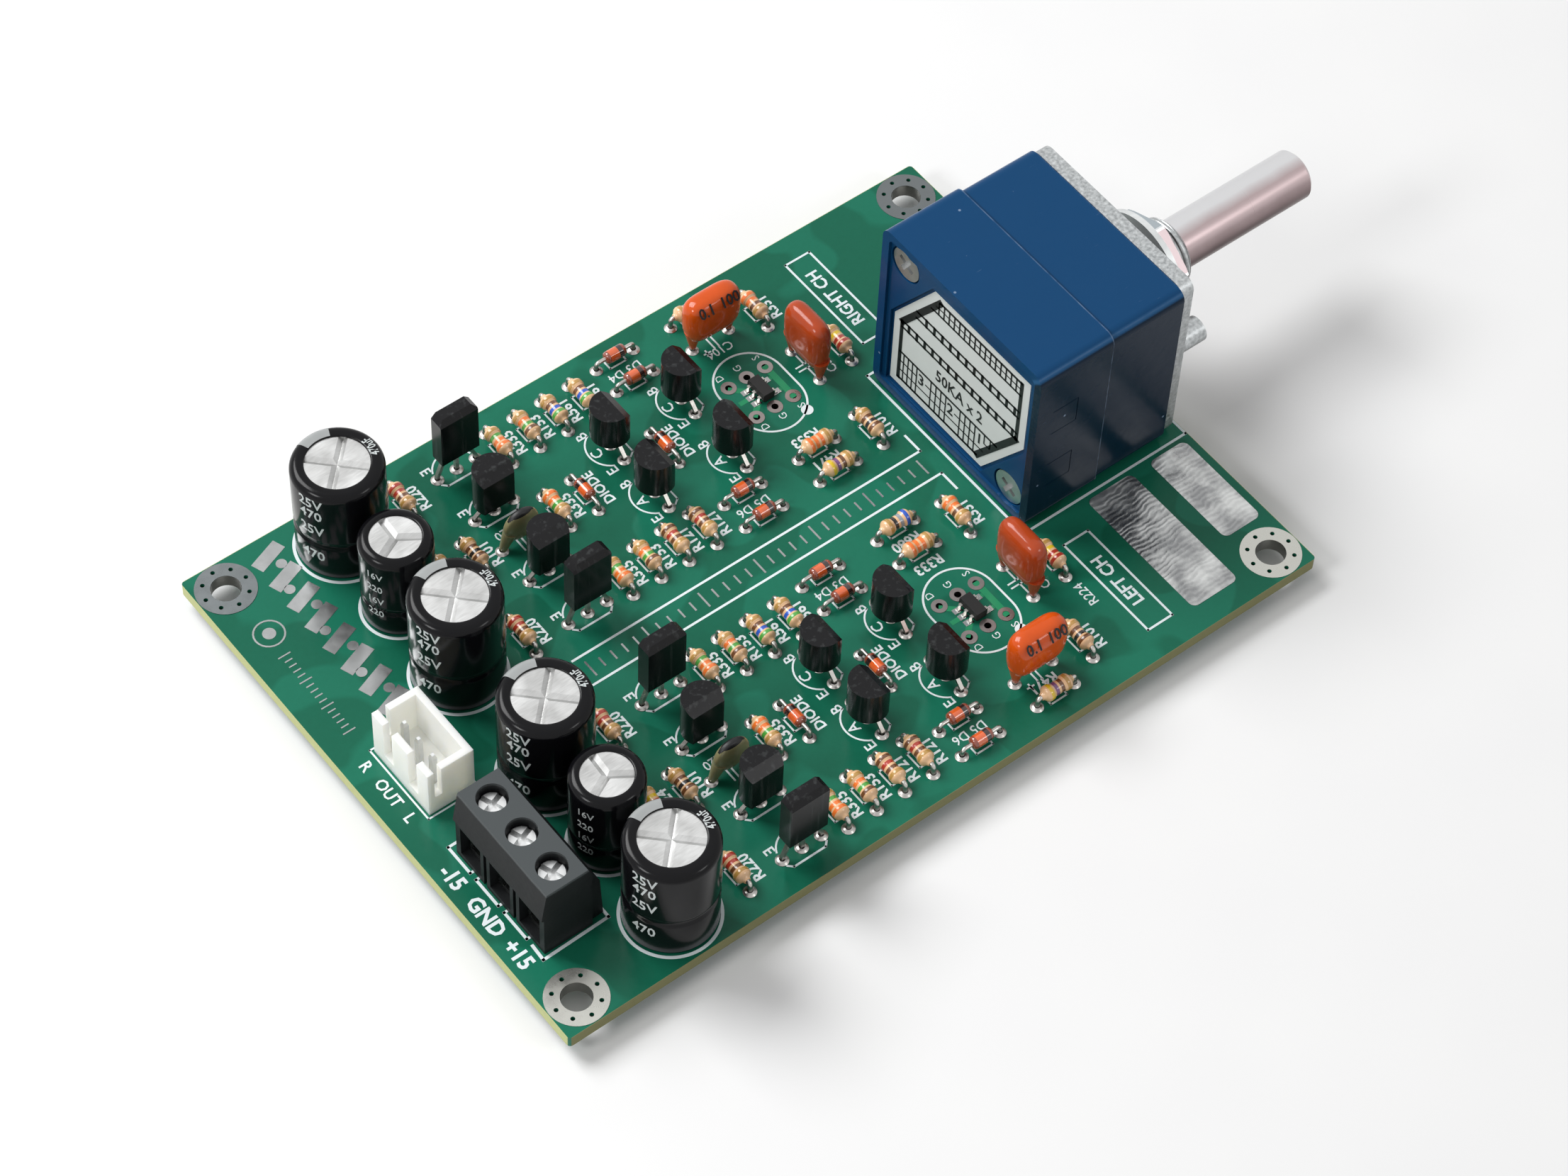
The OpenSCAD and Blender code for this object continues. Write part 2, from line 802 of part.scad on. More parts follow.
module chip_lands() {
    land_w = 0.7;
    color("silver") at_fet_legs() translate([fet_w / 2, -land_w / 2, board_t])
        cube([land_l, land_w, tin_t]);
}

// Dipped film capacitors, rounded like pillows and drawn in towards their leads
module dipped(w, t, top) {
    r = t / 2;
    low = board_t + dip_gap;
    high = board_t + top - r;
    neck = 0.55;
    hull() {
        for (s = [-1, 1]) {
            translate([0, s * (w / 2 - r), high - 0.6]) sphere(r = r, $fn = 24);
            translate([0, s * (w / 2 - r - 0.9), high]) sphere(r = r, $fn = 24);
            translate([0, s * lead_pitch / 2, low]) cylinder(r = neck, h = 0.3, $fn = 16);
            translate([0, s * (w / 2 - r), low + 1.9]) sphere(r = r - 0.1, $fn = 24);
        }
    }
}

module input_capacitors() {
    color("orangered") at_input_caps() dipped(input_cap_w, input_cap_t, input_cap_h);
}

module input_capacitor_leads() {
    color("silver") at_input_caps() dipped_leads();
}

module filter_capacitors() {
    color("sienna") at_filter_caps() dipped(filter_cap_w, filter_cap_t, filter_cap_h);
}

module filter_capacitor_leads() {
    color("silver") at_filter_caps() dipped_leads();
}

module dipped_leads() {
    at_pair(lead_pitch) translate([0, 0, lead_tip])
        cylinder(d = dip_lead_d, h = board_t + dip_gap - lead_tip);
}

// Ceramic disc capacitors, standing on edge
module ceramic_capacitors() {
    r = ceramic_d / 2;
    edge = ceramic_t / 2;
    color("darkkhaki") at_ceramics() translate([0, 0, board_t + ceramic_z]) rotate([0, 90, 0])
        rotate_extrude() {
        translate([0, -edge]) square([r - edge, ceramic_t]);
        intersection() {
            translate([r - edge, 0]) circle(r = edge);
            translate([0, -edge]) square([r, ceramic_t]);
        }
    }
}

module ceramic_leads() {
    side = ceramic_d / 2 - 0.5;
    top_z = board_t + ceramic_z - sqrt(pow(ceramic_d / 2, 2) - pow(side, 2)) - 0.25;
    color("silver") at_ceramics() for (s = [-1, 1]) leg(s * side, s * lead_pitch / 2, top_z);
}

// Electrolytic capacitors: can, sleeve, rubber seal and two leads
bead_r = 0.6;
bead_z = 2.2;
bead_out = 0.35;
rim_r = 0.9;
sleeve_mouth = 0.69;
foot_mouth = 0.8;
seal_t = 1.9;
crimp_t = 0.4;
cross_turn = 45;
star_turn = 56;

module can_outline(r, h) {
    difference() {
        union() {
            square([r, h - rim_r]);
            square([r - rim_r, h]);
            translate([r - rim_r, h - rim_r]) intersection() {
                circle(r = rim_r);
                translate([0, -rim_r]) square([rim_r, 2 * rim_r]);
            }
        }
        translate([r + bead_out, bead_z]) circle(r = bead_r);
    }
}

module can(d, h, vents, turn) {
    r = d / 2 - sleeve_t - fit;
    tall = h - can_gap - 2 * (sleeve_t + fit);
    translate([0, 0, board_t + can_gap + sleeve_t + fit]) difference() {
        rotate_extrude() difference() {
            can_outline(r, tall);
            translate([-e, -e]) square([r - crimp_t + e, seal_t + e]);
        }
        for (i = [1:vents]) translate([0, 0, tall]) rotate([90, 0, i * 360 / vents + turn])
            linear_extrude(d / 2 * sleeve_mouth + e)
            polygon([[0, -vent_deep], [vent_w / 2, 0], [vent_w / 2, e], [-vent_w / 2, e], [-vent_w / 2, 0]]);
    }
}

module sleeve(d, h) {
    r = d / 2;
    tall = h - can_gap;
    inner = r - sleeve_t;
    translate([0, 0, board_t + can_gap]) rotate_extrude() difference() {
        union() {
            square([r, tall - rim_r]);
            square([r - rim_r, tall]);
            translate([r - rim_r, tall - rim_r]) intersection() {
                circle(r = rim_r);
                translate([0, -rim_r]) square([rim_r, 2 * rim_r]);
            }
        }
        translate([0, sleeve_t]) can_hollow(inner, tall - 2 * sleeve_t);
        translate([-e, sleeve_t]) square([r * sleeve_mouth + e, tall]);
        translate([-e, -e]) square([r * foot_mouth + e, sleeve_t + 2 * e]);
        translate([inner + bead_out, bead_z + sleeve_t + fit]) circle(r = bead_r - sleeve_t);
    }
}

module can_hollow(r, h) {
    difference() {
        union() {
            square([r, h - rim_r]);
            square([r - rim_r, h]);
            translate([r - rim_r, h - rim_r]) intersection() {
                circle(r = rim_r);
                translate([0, -rim_r]) square([rim_r, 2 * rim_r]);
            }
        }
        translate([r + bead_out, bead_z + fit]) circle(r = bead_r - fit);
    }
}

module seal(d, pitch) {
    r = d / 2 - sleeve_t - crimp_t - 2 * fit;
    translate([0, 0, board_t + can_gap + sleeve_t]) difference() {
        cylinder(r = r, h = seal_t);
        at_pair(pitch) translate([0, 0, -e]) cylinder(d = can_lead_d + 2 * fit, h = seal_t + 2 * e);
    }
}

module can_pair(pitch) {
    at_pair(pitch) translate([0, 0, pin_tip])
        cylinder(d = can_lead_d, h = board_t + can_gap + sleeve_t + seal_t - pin_tip);
}

module reservoir_cans() {
    color("silver") at_reservoirs() can(large_cap_d, large_cap_h, 4, cross_turn);
}

module reservoir_sleeves() {
    color("black") at_reservoirs() sleeve(large_cap_d, large_cap_h);
}

module coupling_cans() {
    color("silver") at_couplings() can(small_cap_d, small_cap_h, 3, star_turn);
}

module coupling_sleeves() {
    color("black") at_couplings() sleeve(small_cap_d, small_cap_h);
}

module can_seals() {
    color("dimgray") {
        at_reservoirs() seal(large_cap_d, large_cap_pitch);
        at_couplings() seal(small_cap_d, small_cap_pitch);
    }
}

module can_leads() {
    color("silver") {
        at_reservoirs() can_pair(large_cap_pitch);
        at_couplings() can_pair(small_cap_pitch);
    }
}

// Output header: an open box, slotted towards the board's edge
module header_shell() {
    in = header_wall;
    color("ivory") translate([header_x, 0, board_t]) difference() {
        translate([0, -header_w / 2, 0]) cube([header_l, header_w, header_h]);
        translate([in, in - header_w / 2, header_floor])
            cube([header_l - 2 * in, header_w - 2 * in, header_h]);
        for (s = [-1, 1]) {
            translate([-e, s * header_slot_y - header_slot_w / 2, header_slot_z])
                cube([in + 2 * e, header_slot_w, header_h]);
            translate([in, s * (header_w - in) / 2 - in / 2 - e, header_notch_z])
                cube([header_notch_w, in + 2 * e, header_h]);
        }
        for (i = [-1:1]) translate([header_pin_x, i * header_pitch, header_floor / 2])
            cube([header_pin_w + 2 * fit, header_pin_w + 2 * fit, header_floor + 2 * e], center = true);
    }
}

module header_pins() {
    point_l = 0.5;
    top_z = board_t + header_pin_h - point_l;
    w = header_pin_w;
    color("silver") at_header_pins() {
        translate([-w / 2, -w / 2, pin_tip]) cube([w, w, top_z - pin_tip]);
        translate([0, 0, top_z]) rotate([0, 0, 45])
            cylinder(d1 = w * sqrt(2), d2 = w * 0.8, h = point_l, $fn = 4);
    }
}

// Terminal block with rising clamps
module terminal_block() {
    color("dimgray") difference() {
        translate([block_x, -block_y, board_t]) rotate([90, 0, 0]) linear_extrude(block_w, center = true)
            polygon([[toe, 0], [block_l, 0], [block_l - back_lean, knee_z], [deck_front + deck_l, block_h],
                [deck_front, block_h], [0, knee_z], [toe, knee_z - toe]]);
        at_terminals() translate([0, 0, board_t]) terminal_hollow();
        for (i = [-1, 1]) translate([block_x, -block_y + i * clamp_pitch / 2, board_t]) {
            translate([-e, -groove_w / 2, -e]) cube([groove_deep + e, groove_w, knee_z - toe + e]);
            translate([shoulder_l, i * (clamp_pitch - shoulder_in) + (i - 1) * shoulder_in / 2, -e])
                cube([block_l, shoulder_in + e, block_h + 2 * e]);
        }
    }
}

module terminal_hollow() {
    mid_x = chamber_x + chamber_l / 2;
    back_x = chamber_x + chamber_l;
    slot_t = contact_t + 2 * fit;
    slot_w = contact_w + 2 * fit;
    translate([-e, -entry_w / 2, chamber_floor]) cube([chamber_x + 2 * e, entry_w, entry_h]);
    translate([chamber_x, -entry_w / 2, chamber_floor]) cube([chamber_l, entry_w, ledge_z - chamber_floor]);
    translate([mid_x, 0, ledge_z - e]) cylinder(d = screw_d + 0.2, h = ledge_t + 2 * e);
    translate([mid_x, 0, ledge_z + ledge_t]) cylinder(d = screw_head_d + 0.2, h = block_h);
    translate([back_x - e, -slot_w / 2, contact_z - fit]) cube([1.5 * contact_t + fit + e, slot_w, slot_t]);
    translate([back_x + contact_t - slot_t / 2, -slot_w / 2, -e]) cube([slot_t, slot_w, contact_z + e]);
}

module terminal_contacts() {
    front_x = chamber_x + 0.3;
    bend_x = chamber_x + chamber_l + contact_t / 2;
    foot_z = 0.2;
    color("silver") at_terminals() {
        translate([front_x, -contact_w / 2, board_t + contact_z])
            cube([bend_x + contact_t - front_x, contact_w, contact_t]);
        translate([bend_x, -contact_w / 2, board_t + foot_z])
            cube([contact_t, contact_w, contact_z - foot_z + e]);
        translate([bend_x, -tail_w / 2, pin_tip]) cube([contact_t, tail_w, board_t + foot_z + e - pin_tip]);
    }
}

module clamp_screw(i) {
    head_z = board_t + ledge_z + ledge_t + fit;
    tip_z = board_t + contact_z + contact_t + 0.3;
    color("silver") translate([screw_x, -block_y + (2 - i) * clamp_pitch, 0]) difference() {
        union() {
            translate([0, 0, tip_z]) cylinder(d = screw_d, h = head_z - tip_z + e);
            translate([0, 0, head_z]) cylinder(d = screw_head_d, h = screw_head_h - 0.2);
            translate([0, 0, head_z + screw_head_h - 0.2])
                cylinder(d1 = screw_head_d, d2 = screw_head_d - 0.4, h = 0.2);
        }
        for (a = [20, 110]) translate([0, 0, head_z + screw_head_h]) rotate([0, 0, a])
            cube([screw_head_d + a / 110, screw_slot_w, 2 * screw_slot_deep], center = true);
    }
}

module clamp_screw_1() {
    clamp_screw(1);
}

module clamp_screw_2() {
    clamp_screw(2);
}

module clamp_screw_3() {
    clamp_screw(3);
}

module wire_clamp(i) {
    l = chamber_l - 2 * cage_play;
    w = entry_w - 2 * cage_play;
    y = -block_y + (2 - i) * clamp_pitch;
    color("silver") translate([screw_x, y, board_t + chamber_floor + cage_seat]) difference() {
        translate([-l / 2, -w / 2, 0]) cube([l, w, cage_h]);
        translate([-l / 2 - e, cage_side - w / 2, cage_sill])
            cube([l + 2 * e, w - 2 * cage_side, cage_window]);
        translate([0, 0, cage_sill + e]) cylinder(d = screw_d + 0.12, h = cage_h);
    }
}

module wire_clamp_1() {
    wire_clamp(1);
}

module wire_clamp_2() {
    wire_clamp(2);
}

module wire_clamp_3() {
    wire_clamp(3);
}

// Volume control
module case_block(x, l, w, h) {
    translate([x, 0, case_z + h / 2]) rotate([0, 90, 0]) round_plate(h, w, l, case_r);
}

module front_plate() {
    h = case_h - case_step + plate_over;
    chamfer = 0.4;
    color("lightgray") difference() {
        union() {
            case_block(case_x, plate_t, case_w - 2 * plate_side_inset, h);
            along_shaft(case_x - boss_t) cylinder(d = boss_d, h = boss_t + e);
            along_shaft(face_x - e) cylinder(d = collar_d, h = collar_t + e);
            along_shaft(face_x) cylinder(d = bush_d, h = bush_l - chamfer);
            along_shaft(face_x + bush_l - chamfer)
                cylinder(d1 = bush_d, d2 = bush_d - 2 * chamfer, h = chamfer);
            translate([face_x - e, -peg_y, axis_z]) rotate([0, 90, 0]) cylinder(d = peg_d, h = peg_l + e);
        }
        along_shaft(case_x - 1) cylinder(r = journal_d / 2 + shaft_play, h = plate_t + bush_l + 2);
        at_case_screws(case_x - e) cylinder(d = case_screw_d + 2 * fit, h = plate_t + 2 * e);
    }
}

module wafer_seat(x) {
    along_shaft(x - e) cylinder(r = wafer_r + fit, h = wafer_t + e);
    for (i = [-1:1]) translate([x - e, i * tag_pitch - tag_w / 2 - tag_play, case_z - e])
        cube([wafer_t + tag_t + tag_play + e, tag_w + 2 * tag_play, tag_slot_h]);
}

module front_case() {
    color("steelblue") {
        difference() {
            case_block(joint_x, front_case_l, case_w - 2 * case_step, case_h - case_step);
            along_shaft(joint_x - e) cylinder(r = bore_r, h = front_case_l + 2 * e);
            wafer_seat(joint_x);
            at_case_screws(joint_x - e) cylinder(d = case_screw_d + 0.2, h = front_case_l + 2 * e);
        }
        along_shaft(joint_x + wafer_t + rotor_gap) rotate([0, 0, -stop_angle / 2])
            rotate_extrude(angle = stop_angle) translate([rotor_r + 0.2, 0])
                square([bore_r - rotor_r, rotor_t]);
    }
}

module at_latches() {
    for (a = [0, 180], z = latch_z) translate([rear_x, 0, case_mid_z + z]) mirror([0, a / 180, 0])
        translate([0, case_w / 2 - latch_t / 2, 0]) children();
}

module rear_case() {
    color("steelblue") difference() {
        case_block(rear_x, rear_case_l, case_w, case_h);
        along_shaft(rear_x - e) cylinder(r = bore_r, h = rear_case_l + 2 * e);
        wafer_seat(rear_x);
        at_case_screws(rear_x - e) cylinder(d = case_screw_d + 0.2, h = rear_case_l + 2 * e);
        at_latches() translate([-e, -latch_t / 2 - fit, -latch_h / 2 - latch_play])
            cube([latch_l + latch_play + e, latch_t + fit + e, latch_h + 2 * latch_play]);
    }
}

module label_shape(grow) {
    y = label_w / 2 + grow;
    z = label_h / 2 + grow;
    cut_y = label_cut_y + grow * 0.4;
    cut_z = label_cut_z + grow * 0.6;
    polygon([[y, -z], [y, z - cut_z], [y - cut_y, z], [-y, z], [-y, cut_z - z], [cut_y - y, -z]]);
}

module rear_cover() {
    color("steelblue") difference() {
        union() {
            case_block(cover_x, cover_t, case_w, case_h);
            at_latches() translate([-e, -latch_t / 2, -latch_h / 2]) cube([latch_l + e, latch_t, latch_h]);
        }
        translate([cover_x - e, 0, case_mid_z]) rotate([0, 90, 0])
            round_plate(case_h - 2 * cover_rim, case_w - 2 * cover_rim, cover_sink + e, cover_field_r);
        translate([cover_x - e, 0, case_mid_z - label_low]) rotate([90, 0, 90])
            linear_extrude(label_sink + e) label_shape(label_rim);
        at_case_screws(cover_x - e) cylinder(d = case_screw_d + 0.2, h = cover_t + 2 * e);
        at_case_screws(cover_x - e)
            cylinder(d = case_screw_head_d + 0.4, h = case_screw_head_h + head_sink + e);
    }
}

module rating_label() {
    color("white") translate([cover_x + label_sink - label_t, 0, case_mid_z - label_low])
        rotate([90, 0, 90]) linear_extrude(label_t) label_shape(0);
}

module case_screws() {
    head_x = cover_x + head_sink;
    under_x = head_x + case_screw_head_h;
    color("silver") difference() {
        union() {
            at_case_screws(head_x) cylinder(d = case_screw_head_d, h = case_screw_head_h);
            at_case_screws(under_x - e) cylinder(d = case_screw_d, h = face_x - 0.4 - under_x + e);
        }
        at_case_screws(head_x - e) for (a = [30, 120]) rotate([0, 0, a])
            translate([-cross_l / 2, -cross_w / 2, 0]) cube([cross_l + a / 120 * fit, cross_w, cross_deep]);
    }
}

module element_wafers() {
    color("saddlebrown") for (x = [rear_x, joint_x]) along_shaft(x) difference() {
        cylinder(r = wafer_r, h = wafer_t);
        translate([0, 0, -e]) cylinder(d = drive_d + 1.2, h = wafer_t + 2 * e);
    }
}

module resistance_tracks() {
    color("black") for (x = [rear_x, joint_x], t = [track_in, track_out]) along_shaft(x + wafer_t)
        rotate([0, 0, 30]) rotate_extrude(angle = 300) translate([t[0], 0]) square([t[1] - t[0], track_t]);
}

module control_tags() {
    color("silver") for (x = [rear_x, joint_x], i = [-1:1])
        translate([x + wafer_t + fit, i * tag_pitch - tag_w / 2, pin_tip])
            cube([tag_t, tag_w, axis_z - sqrt(pow(tag_r, 2) - pow(i * tag_pitch, 2)) - pin_tip]);
}

module drive_bar(grow, h) {
    intersection() {
        cylinder(d = drive_d + 2 * grow, h = h);
        translate([-drive_d, -drive_flats / 2 - grow, -e])
            cube([2 * drive_d, drive_flats + 2 * grow, h + 2 * e]);
    }
}

module shaft() {
    inner_x = rear_x + wafer_t + rotor_gap - 0.6;
    chamfer = 0.4;
    free_x = face_x + bush_l + shaft_gap;
    color("gainsboro") difference() {
        union() {
            along_shaft(shoulder_x) cylinder(d = journal_d, h = free_x - shoulder_x + e);
            along_shaft(free_x) cylinder(d = shaft_d, h = shaft_end_x - chamfer - free_x);
            along_shaft(shaft_end_x - chamfer)
                cylinder(d1 = shaft_d, d2 = shaft_d - 2 * chamfer, h = chamfer);
            along_shaft(inner_x) drive_bar(0, shoulder_x - inner_x + e);
        }
        along_shaft(clip_x) difference() {
            cylinder(d = journal_d + e, h = clip_t);
            translate([0, 0, -e]) cylinder(d = clip_neck_d, h = clip_t + 2 * e);
        }
    }
}

module shaft_clip() {
    color("gray") along_shaft(clip_x + fit) difference() {
        cylinder(d = clip_d, h = clip_t - 2 * fit);
        translate([0, 0, -e]) cylinder(d = clip_neck_d + 2 * fit, h = clip_t + 2 * e);
        translate([0, -clip_neck_d * 0.4, -e]) cube([clip_d, clip_neck_d * 0.8, clip_t + 2 * e]);
    }
}

module rotors() {
    front_x = joint_x + wafer_t + rotor_gap;
    back_x = rear_x + wafer_t + rotor_gap;
    back_hub_l = 3.6;
    color("whitesmoke") difference() {
        union() {
            along_shaft(front_x) cylinder(r = rotor_r, h = rotor_t);
            along_shaft(front_x) cylinder(d = hub_d, h = shoulder_x - fit - front_x);
            along_shaft(front_x) rotate([0, 0, 180 - lug_angle / 2]) rotate_extrude(angle = lug_angle)
                translate([rotor_r - 0.5, 0]) square([lug_r - rotor_r + 0.5, rotor_t]);
            along_shaft(back_x) cylinder(r = rotor_r, h = rotor_t);
            along_shaft(back_x) cylinder(d = hub_d, h = back_hub_l);
        }
        along_shaft(back_x - e) drive_bar(fit, shoulder_x - back_x + 2 * e);
    }
}

module wipers() {
    tip_d = 0.9;
    arm_w = 2.4;
    finger_l = rotor_gap - wiper_t - track_t - wiper_gap;
    color("goldenrod") for (x = [rear_x, joint_x]) {
        along_shaft(x + wafer_t + rotor_gap - wiper_t) translate([-track_out[1], -arm_w / 2, 0])
            cube([track_out[1] - track_in[0], arm_w, wiper_t]);
        for (t = [track_in, track_out]) along_shaft(x + wafer_t + track_t + wiper_gap)
            translate([-(t[0] + t[1]) / 2, 0, 0]) cylinder(d = tip_d, h = finger_l + e);
    }
}

module washer() {
    color("lightgray") along_shaft(nut_x - fit - washer_t) difference() {
        cylinder(d = washer_d, h = washer_t);
        translate([0, 0, -e]) cylinder(d = bush_d + 0.1, h = washer_t + 2 * e);
    }
}

module nut() {
    color("lightgray") along_shaft(nut_x) difference() {
        intersection() {
            rotate([0, 0, 7]) cylinder(d = nut_flats / cos(30), h = nut_t, $fn = 6);
            cylinder(d1 = 2 * nut_flats, d2 = nut_flats * 1.08, h = nut_t);
        }
        translate([0, 0, -e]) cylinder(d = bush_d + 0.1, h = nut_t + 2 * e);
    }
}

circuit_board();
mounting_lands();
tinned_panels();
adapter_pads();
chip_lands();
solder_joints();
connector_joints();
resistor_bodies();
resistor_leads();
signal_diode_bodies();
signal_diode_leads();
bias_diode_bodies();
bias_diode_leads();
small_transistors();
small_transistor_legs();
driver_transistors();
driver_legs();
output_transistors();
output_legs();
input_fets();
input_fet_legs();
input_capacitors();
input_capacitor_leads();
filter_capacitors();
filter_capacitor_leads();
ceramic_capacitors();
ceramic_leads();
reservoir_cans();
reservoir_sleeves();
coupling_cans();
coupling_sleeves();
can_seals();
can_leads();
header_shell();
header_pins();
terminal_block();
terminal_contacts();
clamp_screw_1();
clamp_screw_2();
clamp_screw_3();
wire_clamp_1();
wire_clamp_2();
wire_clamp_3();
front_plate();
front_case();
rear_case();
rear_cover();
rating_label();
case_screws();
element_wafers();
resistance_tracks();
control_tags();
shaft();
shaft_clip();
rotors();
wipers();
washer();
nut();
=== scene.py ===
import math

import bmesh
import bpy
from mathutils import Matrix, Vector


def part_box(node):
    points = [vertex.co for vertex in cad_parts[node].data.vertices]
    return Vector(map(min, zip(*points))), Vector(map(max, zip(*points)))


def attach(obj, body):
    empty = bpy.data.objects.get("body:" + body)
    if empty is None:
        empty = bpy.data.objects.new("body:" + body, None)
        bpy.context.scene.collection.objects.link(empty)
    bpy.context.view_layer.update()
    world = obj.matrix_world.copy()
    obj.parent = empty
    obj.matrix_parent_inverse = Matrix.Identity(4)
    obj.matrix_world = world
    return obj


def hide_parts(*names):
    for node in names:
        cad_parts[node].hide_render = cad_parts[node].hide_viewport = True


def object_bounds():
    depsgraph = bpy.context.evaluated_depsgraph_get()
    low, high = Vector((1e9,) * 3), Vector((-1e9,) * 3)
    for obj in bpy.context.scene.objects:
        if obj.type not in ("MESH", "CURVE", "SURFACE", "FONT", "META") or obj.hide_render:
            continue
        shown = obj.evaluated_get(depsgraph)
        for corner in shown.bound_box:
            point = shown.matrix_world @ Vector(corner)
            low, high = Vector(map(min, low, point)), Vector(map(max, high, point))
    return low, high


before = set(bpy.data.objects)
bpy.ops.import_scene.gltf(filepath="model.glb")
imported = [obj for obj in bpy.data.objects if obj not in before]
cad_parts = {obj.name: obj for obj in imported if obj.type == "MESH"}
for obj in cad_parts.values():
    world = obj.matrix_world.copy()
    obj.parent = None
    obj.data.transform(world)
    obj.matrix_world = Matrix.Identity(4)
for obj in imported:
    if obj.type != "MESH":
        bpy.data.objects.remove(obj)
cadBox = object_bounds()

print("frame loaded:", len(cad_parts), "nodes")

mm = 0.001
scene = bpy.context.scene
board = {"top": 1.6, "halfLength": 50, "halfWidth": 35}  # millimetres, as everything below
channels = {"right": 18.0, "left": -19.0}  # middle line of each channel along Y

# Places of the parts: x, and y from the middle line of a channel
spots = {"reservoirs": [(-33, 11.1), (-33, -10.2)], "coupling": [(-33, 0.6)], "ceramic": [(-17.5, 0)],
         "power": [(-17.5, 5), (-17.5, -5), (-17.5, 12), (-17.5, -12)],
         "small": [(-2.1, 4.7), (-2.1, -3.4), (8, 5.2), (8, -4.1)],
         "signalDiodes": [(-8.45, 0.8), (2.4, 0.8)], "filter": [(22, 0.8)],
         "biasDiodes": [(5.4, 14), (5.4, 10.2), (5.4, -9.3), (5.4, -13.1)]}
inputSpots = [(15.7, 28), (15.7, -28.3)]  # the input capacitors, on the board's own axes


# Meshes are drawn in millimetres and brought to metres when they become a piece
def makePiece(name, bm, finishes, limit=35, body="board"):
    bmesh.ops.recalc_face_normals(bm, faces=bm.faces)
    bmesh.ops.scale(bm, vec=(mm, mm, mm), verts=bm.verts)
    for face in bm.faces:
        face.smooth = True
    for edge in bm.edges:
        edge.smooth = edge.calc_face_angle(0) < math.radians(limit)
    mesh = bpy.data.meshes.new(name)
    bm.to_mesh(mesh)
    bm.free()
    for finish in finishes:
        mesh.materials.append(finish)
    piece = bpy.data.objects.new(name, mesh)
    scene.collection.objects.link(piece)
    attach(piece, body)
    return piece


def toMesh(bm):
    mesh = bpy.data.meshes.new("copy")
    bm.to_mesh(mesh)
    bm.free()
    return mesh


def addCopy(bm, mesh, matrix):
    copy = mesh.copy()
    copy.transform(matrix)
    bm.from_mesh(copy)
    bpy.data.meshes.remove(copy)


def standing(x, y, z, turn=0):
    return Matrix.Translation((x, y, z)) @ Matrix.Rotation(math.radians(turn), 4, "Z")


def inChannels(kind):
    return [(x, middle + y) for middle in channels.values() for x, y in spots[kind]]


def copies(mesh, places, z=board["top"], turn=0):
    bm = bmesh.new()
    for x, y in places:
        addCopy(bm, mesh, standing(x, y, z, turn))
    return bm


def cone(bm, low, high, depth, matrix, segments=24):
    bmesh.ops.create_cone(bm, cap_ends=True, segments=segments, radius1=low, radius2=high, depth=depth,
                          matrix=matrix)


def latheMesh(profile, indexAt=None, steps=20):  # a profile of (radius, along Y), turned round Y
    bm = bmesh.new()
    points = [bm.verts.new((radius, along, 0)) for radius, along in profile]
    edges = [bm.edges.new(pair) for pair in zip(points, points[1:])]
    bmesh.ops.spin(bm, geom=points + edges, cent=(0, 0, 0), axis=(0, 1, 0), angle=math.tau,
                   steps=steps, use_merge=True)
    bmesh.ops.remove_doubles(bm, verts=bm.verts, dist=0.0005)
    if indexAt:
        for face in bm.faces:
            face.material_index = indexAt(face.calc_center_median().y)
    return toMesh(bm)


# Shader sums are written as plain expressions on sockets
class Signal:
    def __init__(self, owner, socket):
        self.owner = owner
        self.socket = socket

    def combine(self, operation, other=0.0):
        return self.owner.node("ShaderNodeMath", {"operation": operation}, {0: self, 1: other})

    def __add__(self, other):
        return self.combine("ADD", other)

    def __sub__(self, other):
        return self.combine("SUBTRACT", other)

    def __rsub__(self, other):
        return self * -1 + other

    def __mul__(self, other):
        return self.combine("MULTIPLY", other)

    def __pow__(self, other):
        return self.combine("POWER", other)

    def __gt__(self, other):
        return self.combine("GREATER_THAN", other)

    def __lt__(self, other):
        return self.combine("LESS_THAN", other)

    def __abs__(self):
        return self.combine("ABSOLUTE")

    def either(self, other):
        return self.combine("MAXIMUM", other)

    __radd__ = __add__
    __rmul__ = __mul__


class NodeTree:
    def __init__(self, tree):
        self.tree = tree

    def node(self, kind, settings, inputs, output=0):
        node = self.tree.nodes.new(kind)
        for key, value in settings.items():
            setattr(node, key, value)
        for key, value in inputs.items():
            self.feed(node.inputs[key], value)
        return Signal(self, node.outputs[output])

    def feed(self, socket, value):
        if isinstance(value, Signal):
            self.tree.links.new(value.socket, socket)
        else:
            socket.default_value = value


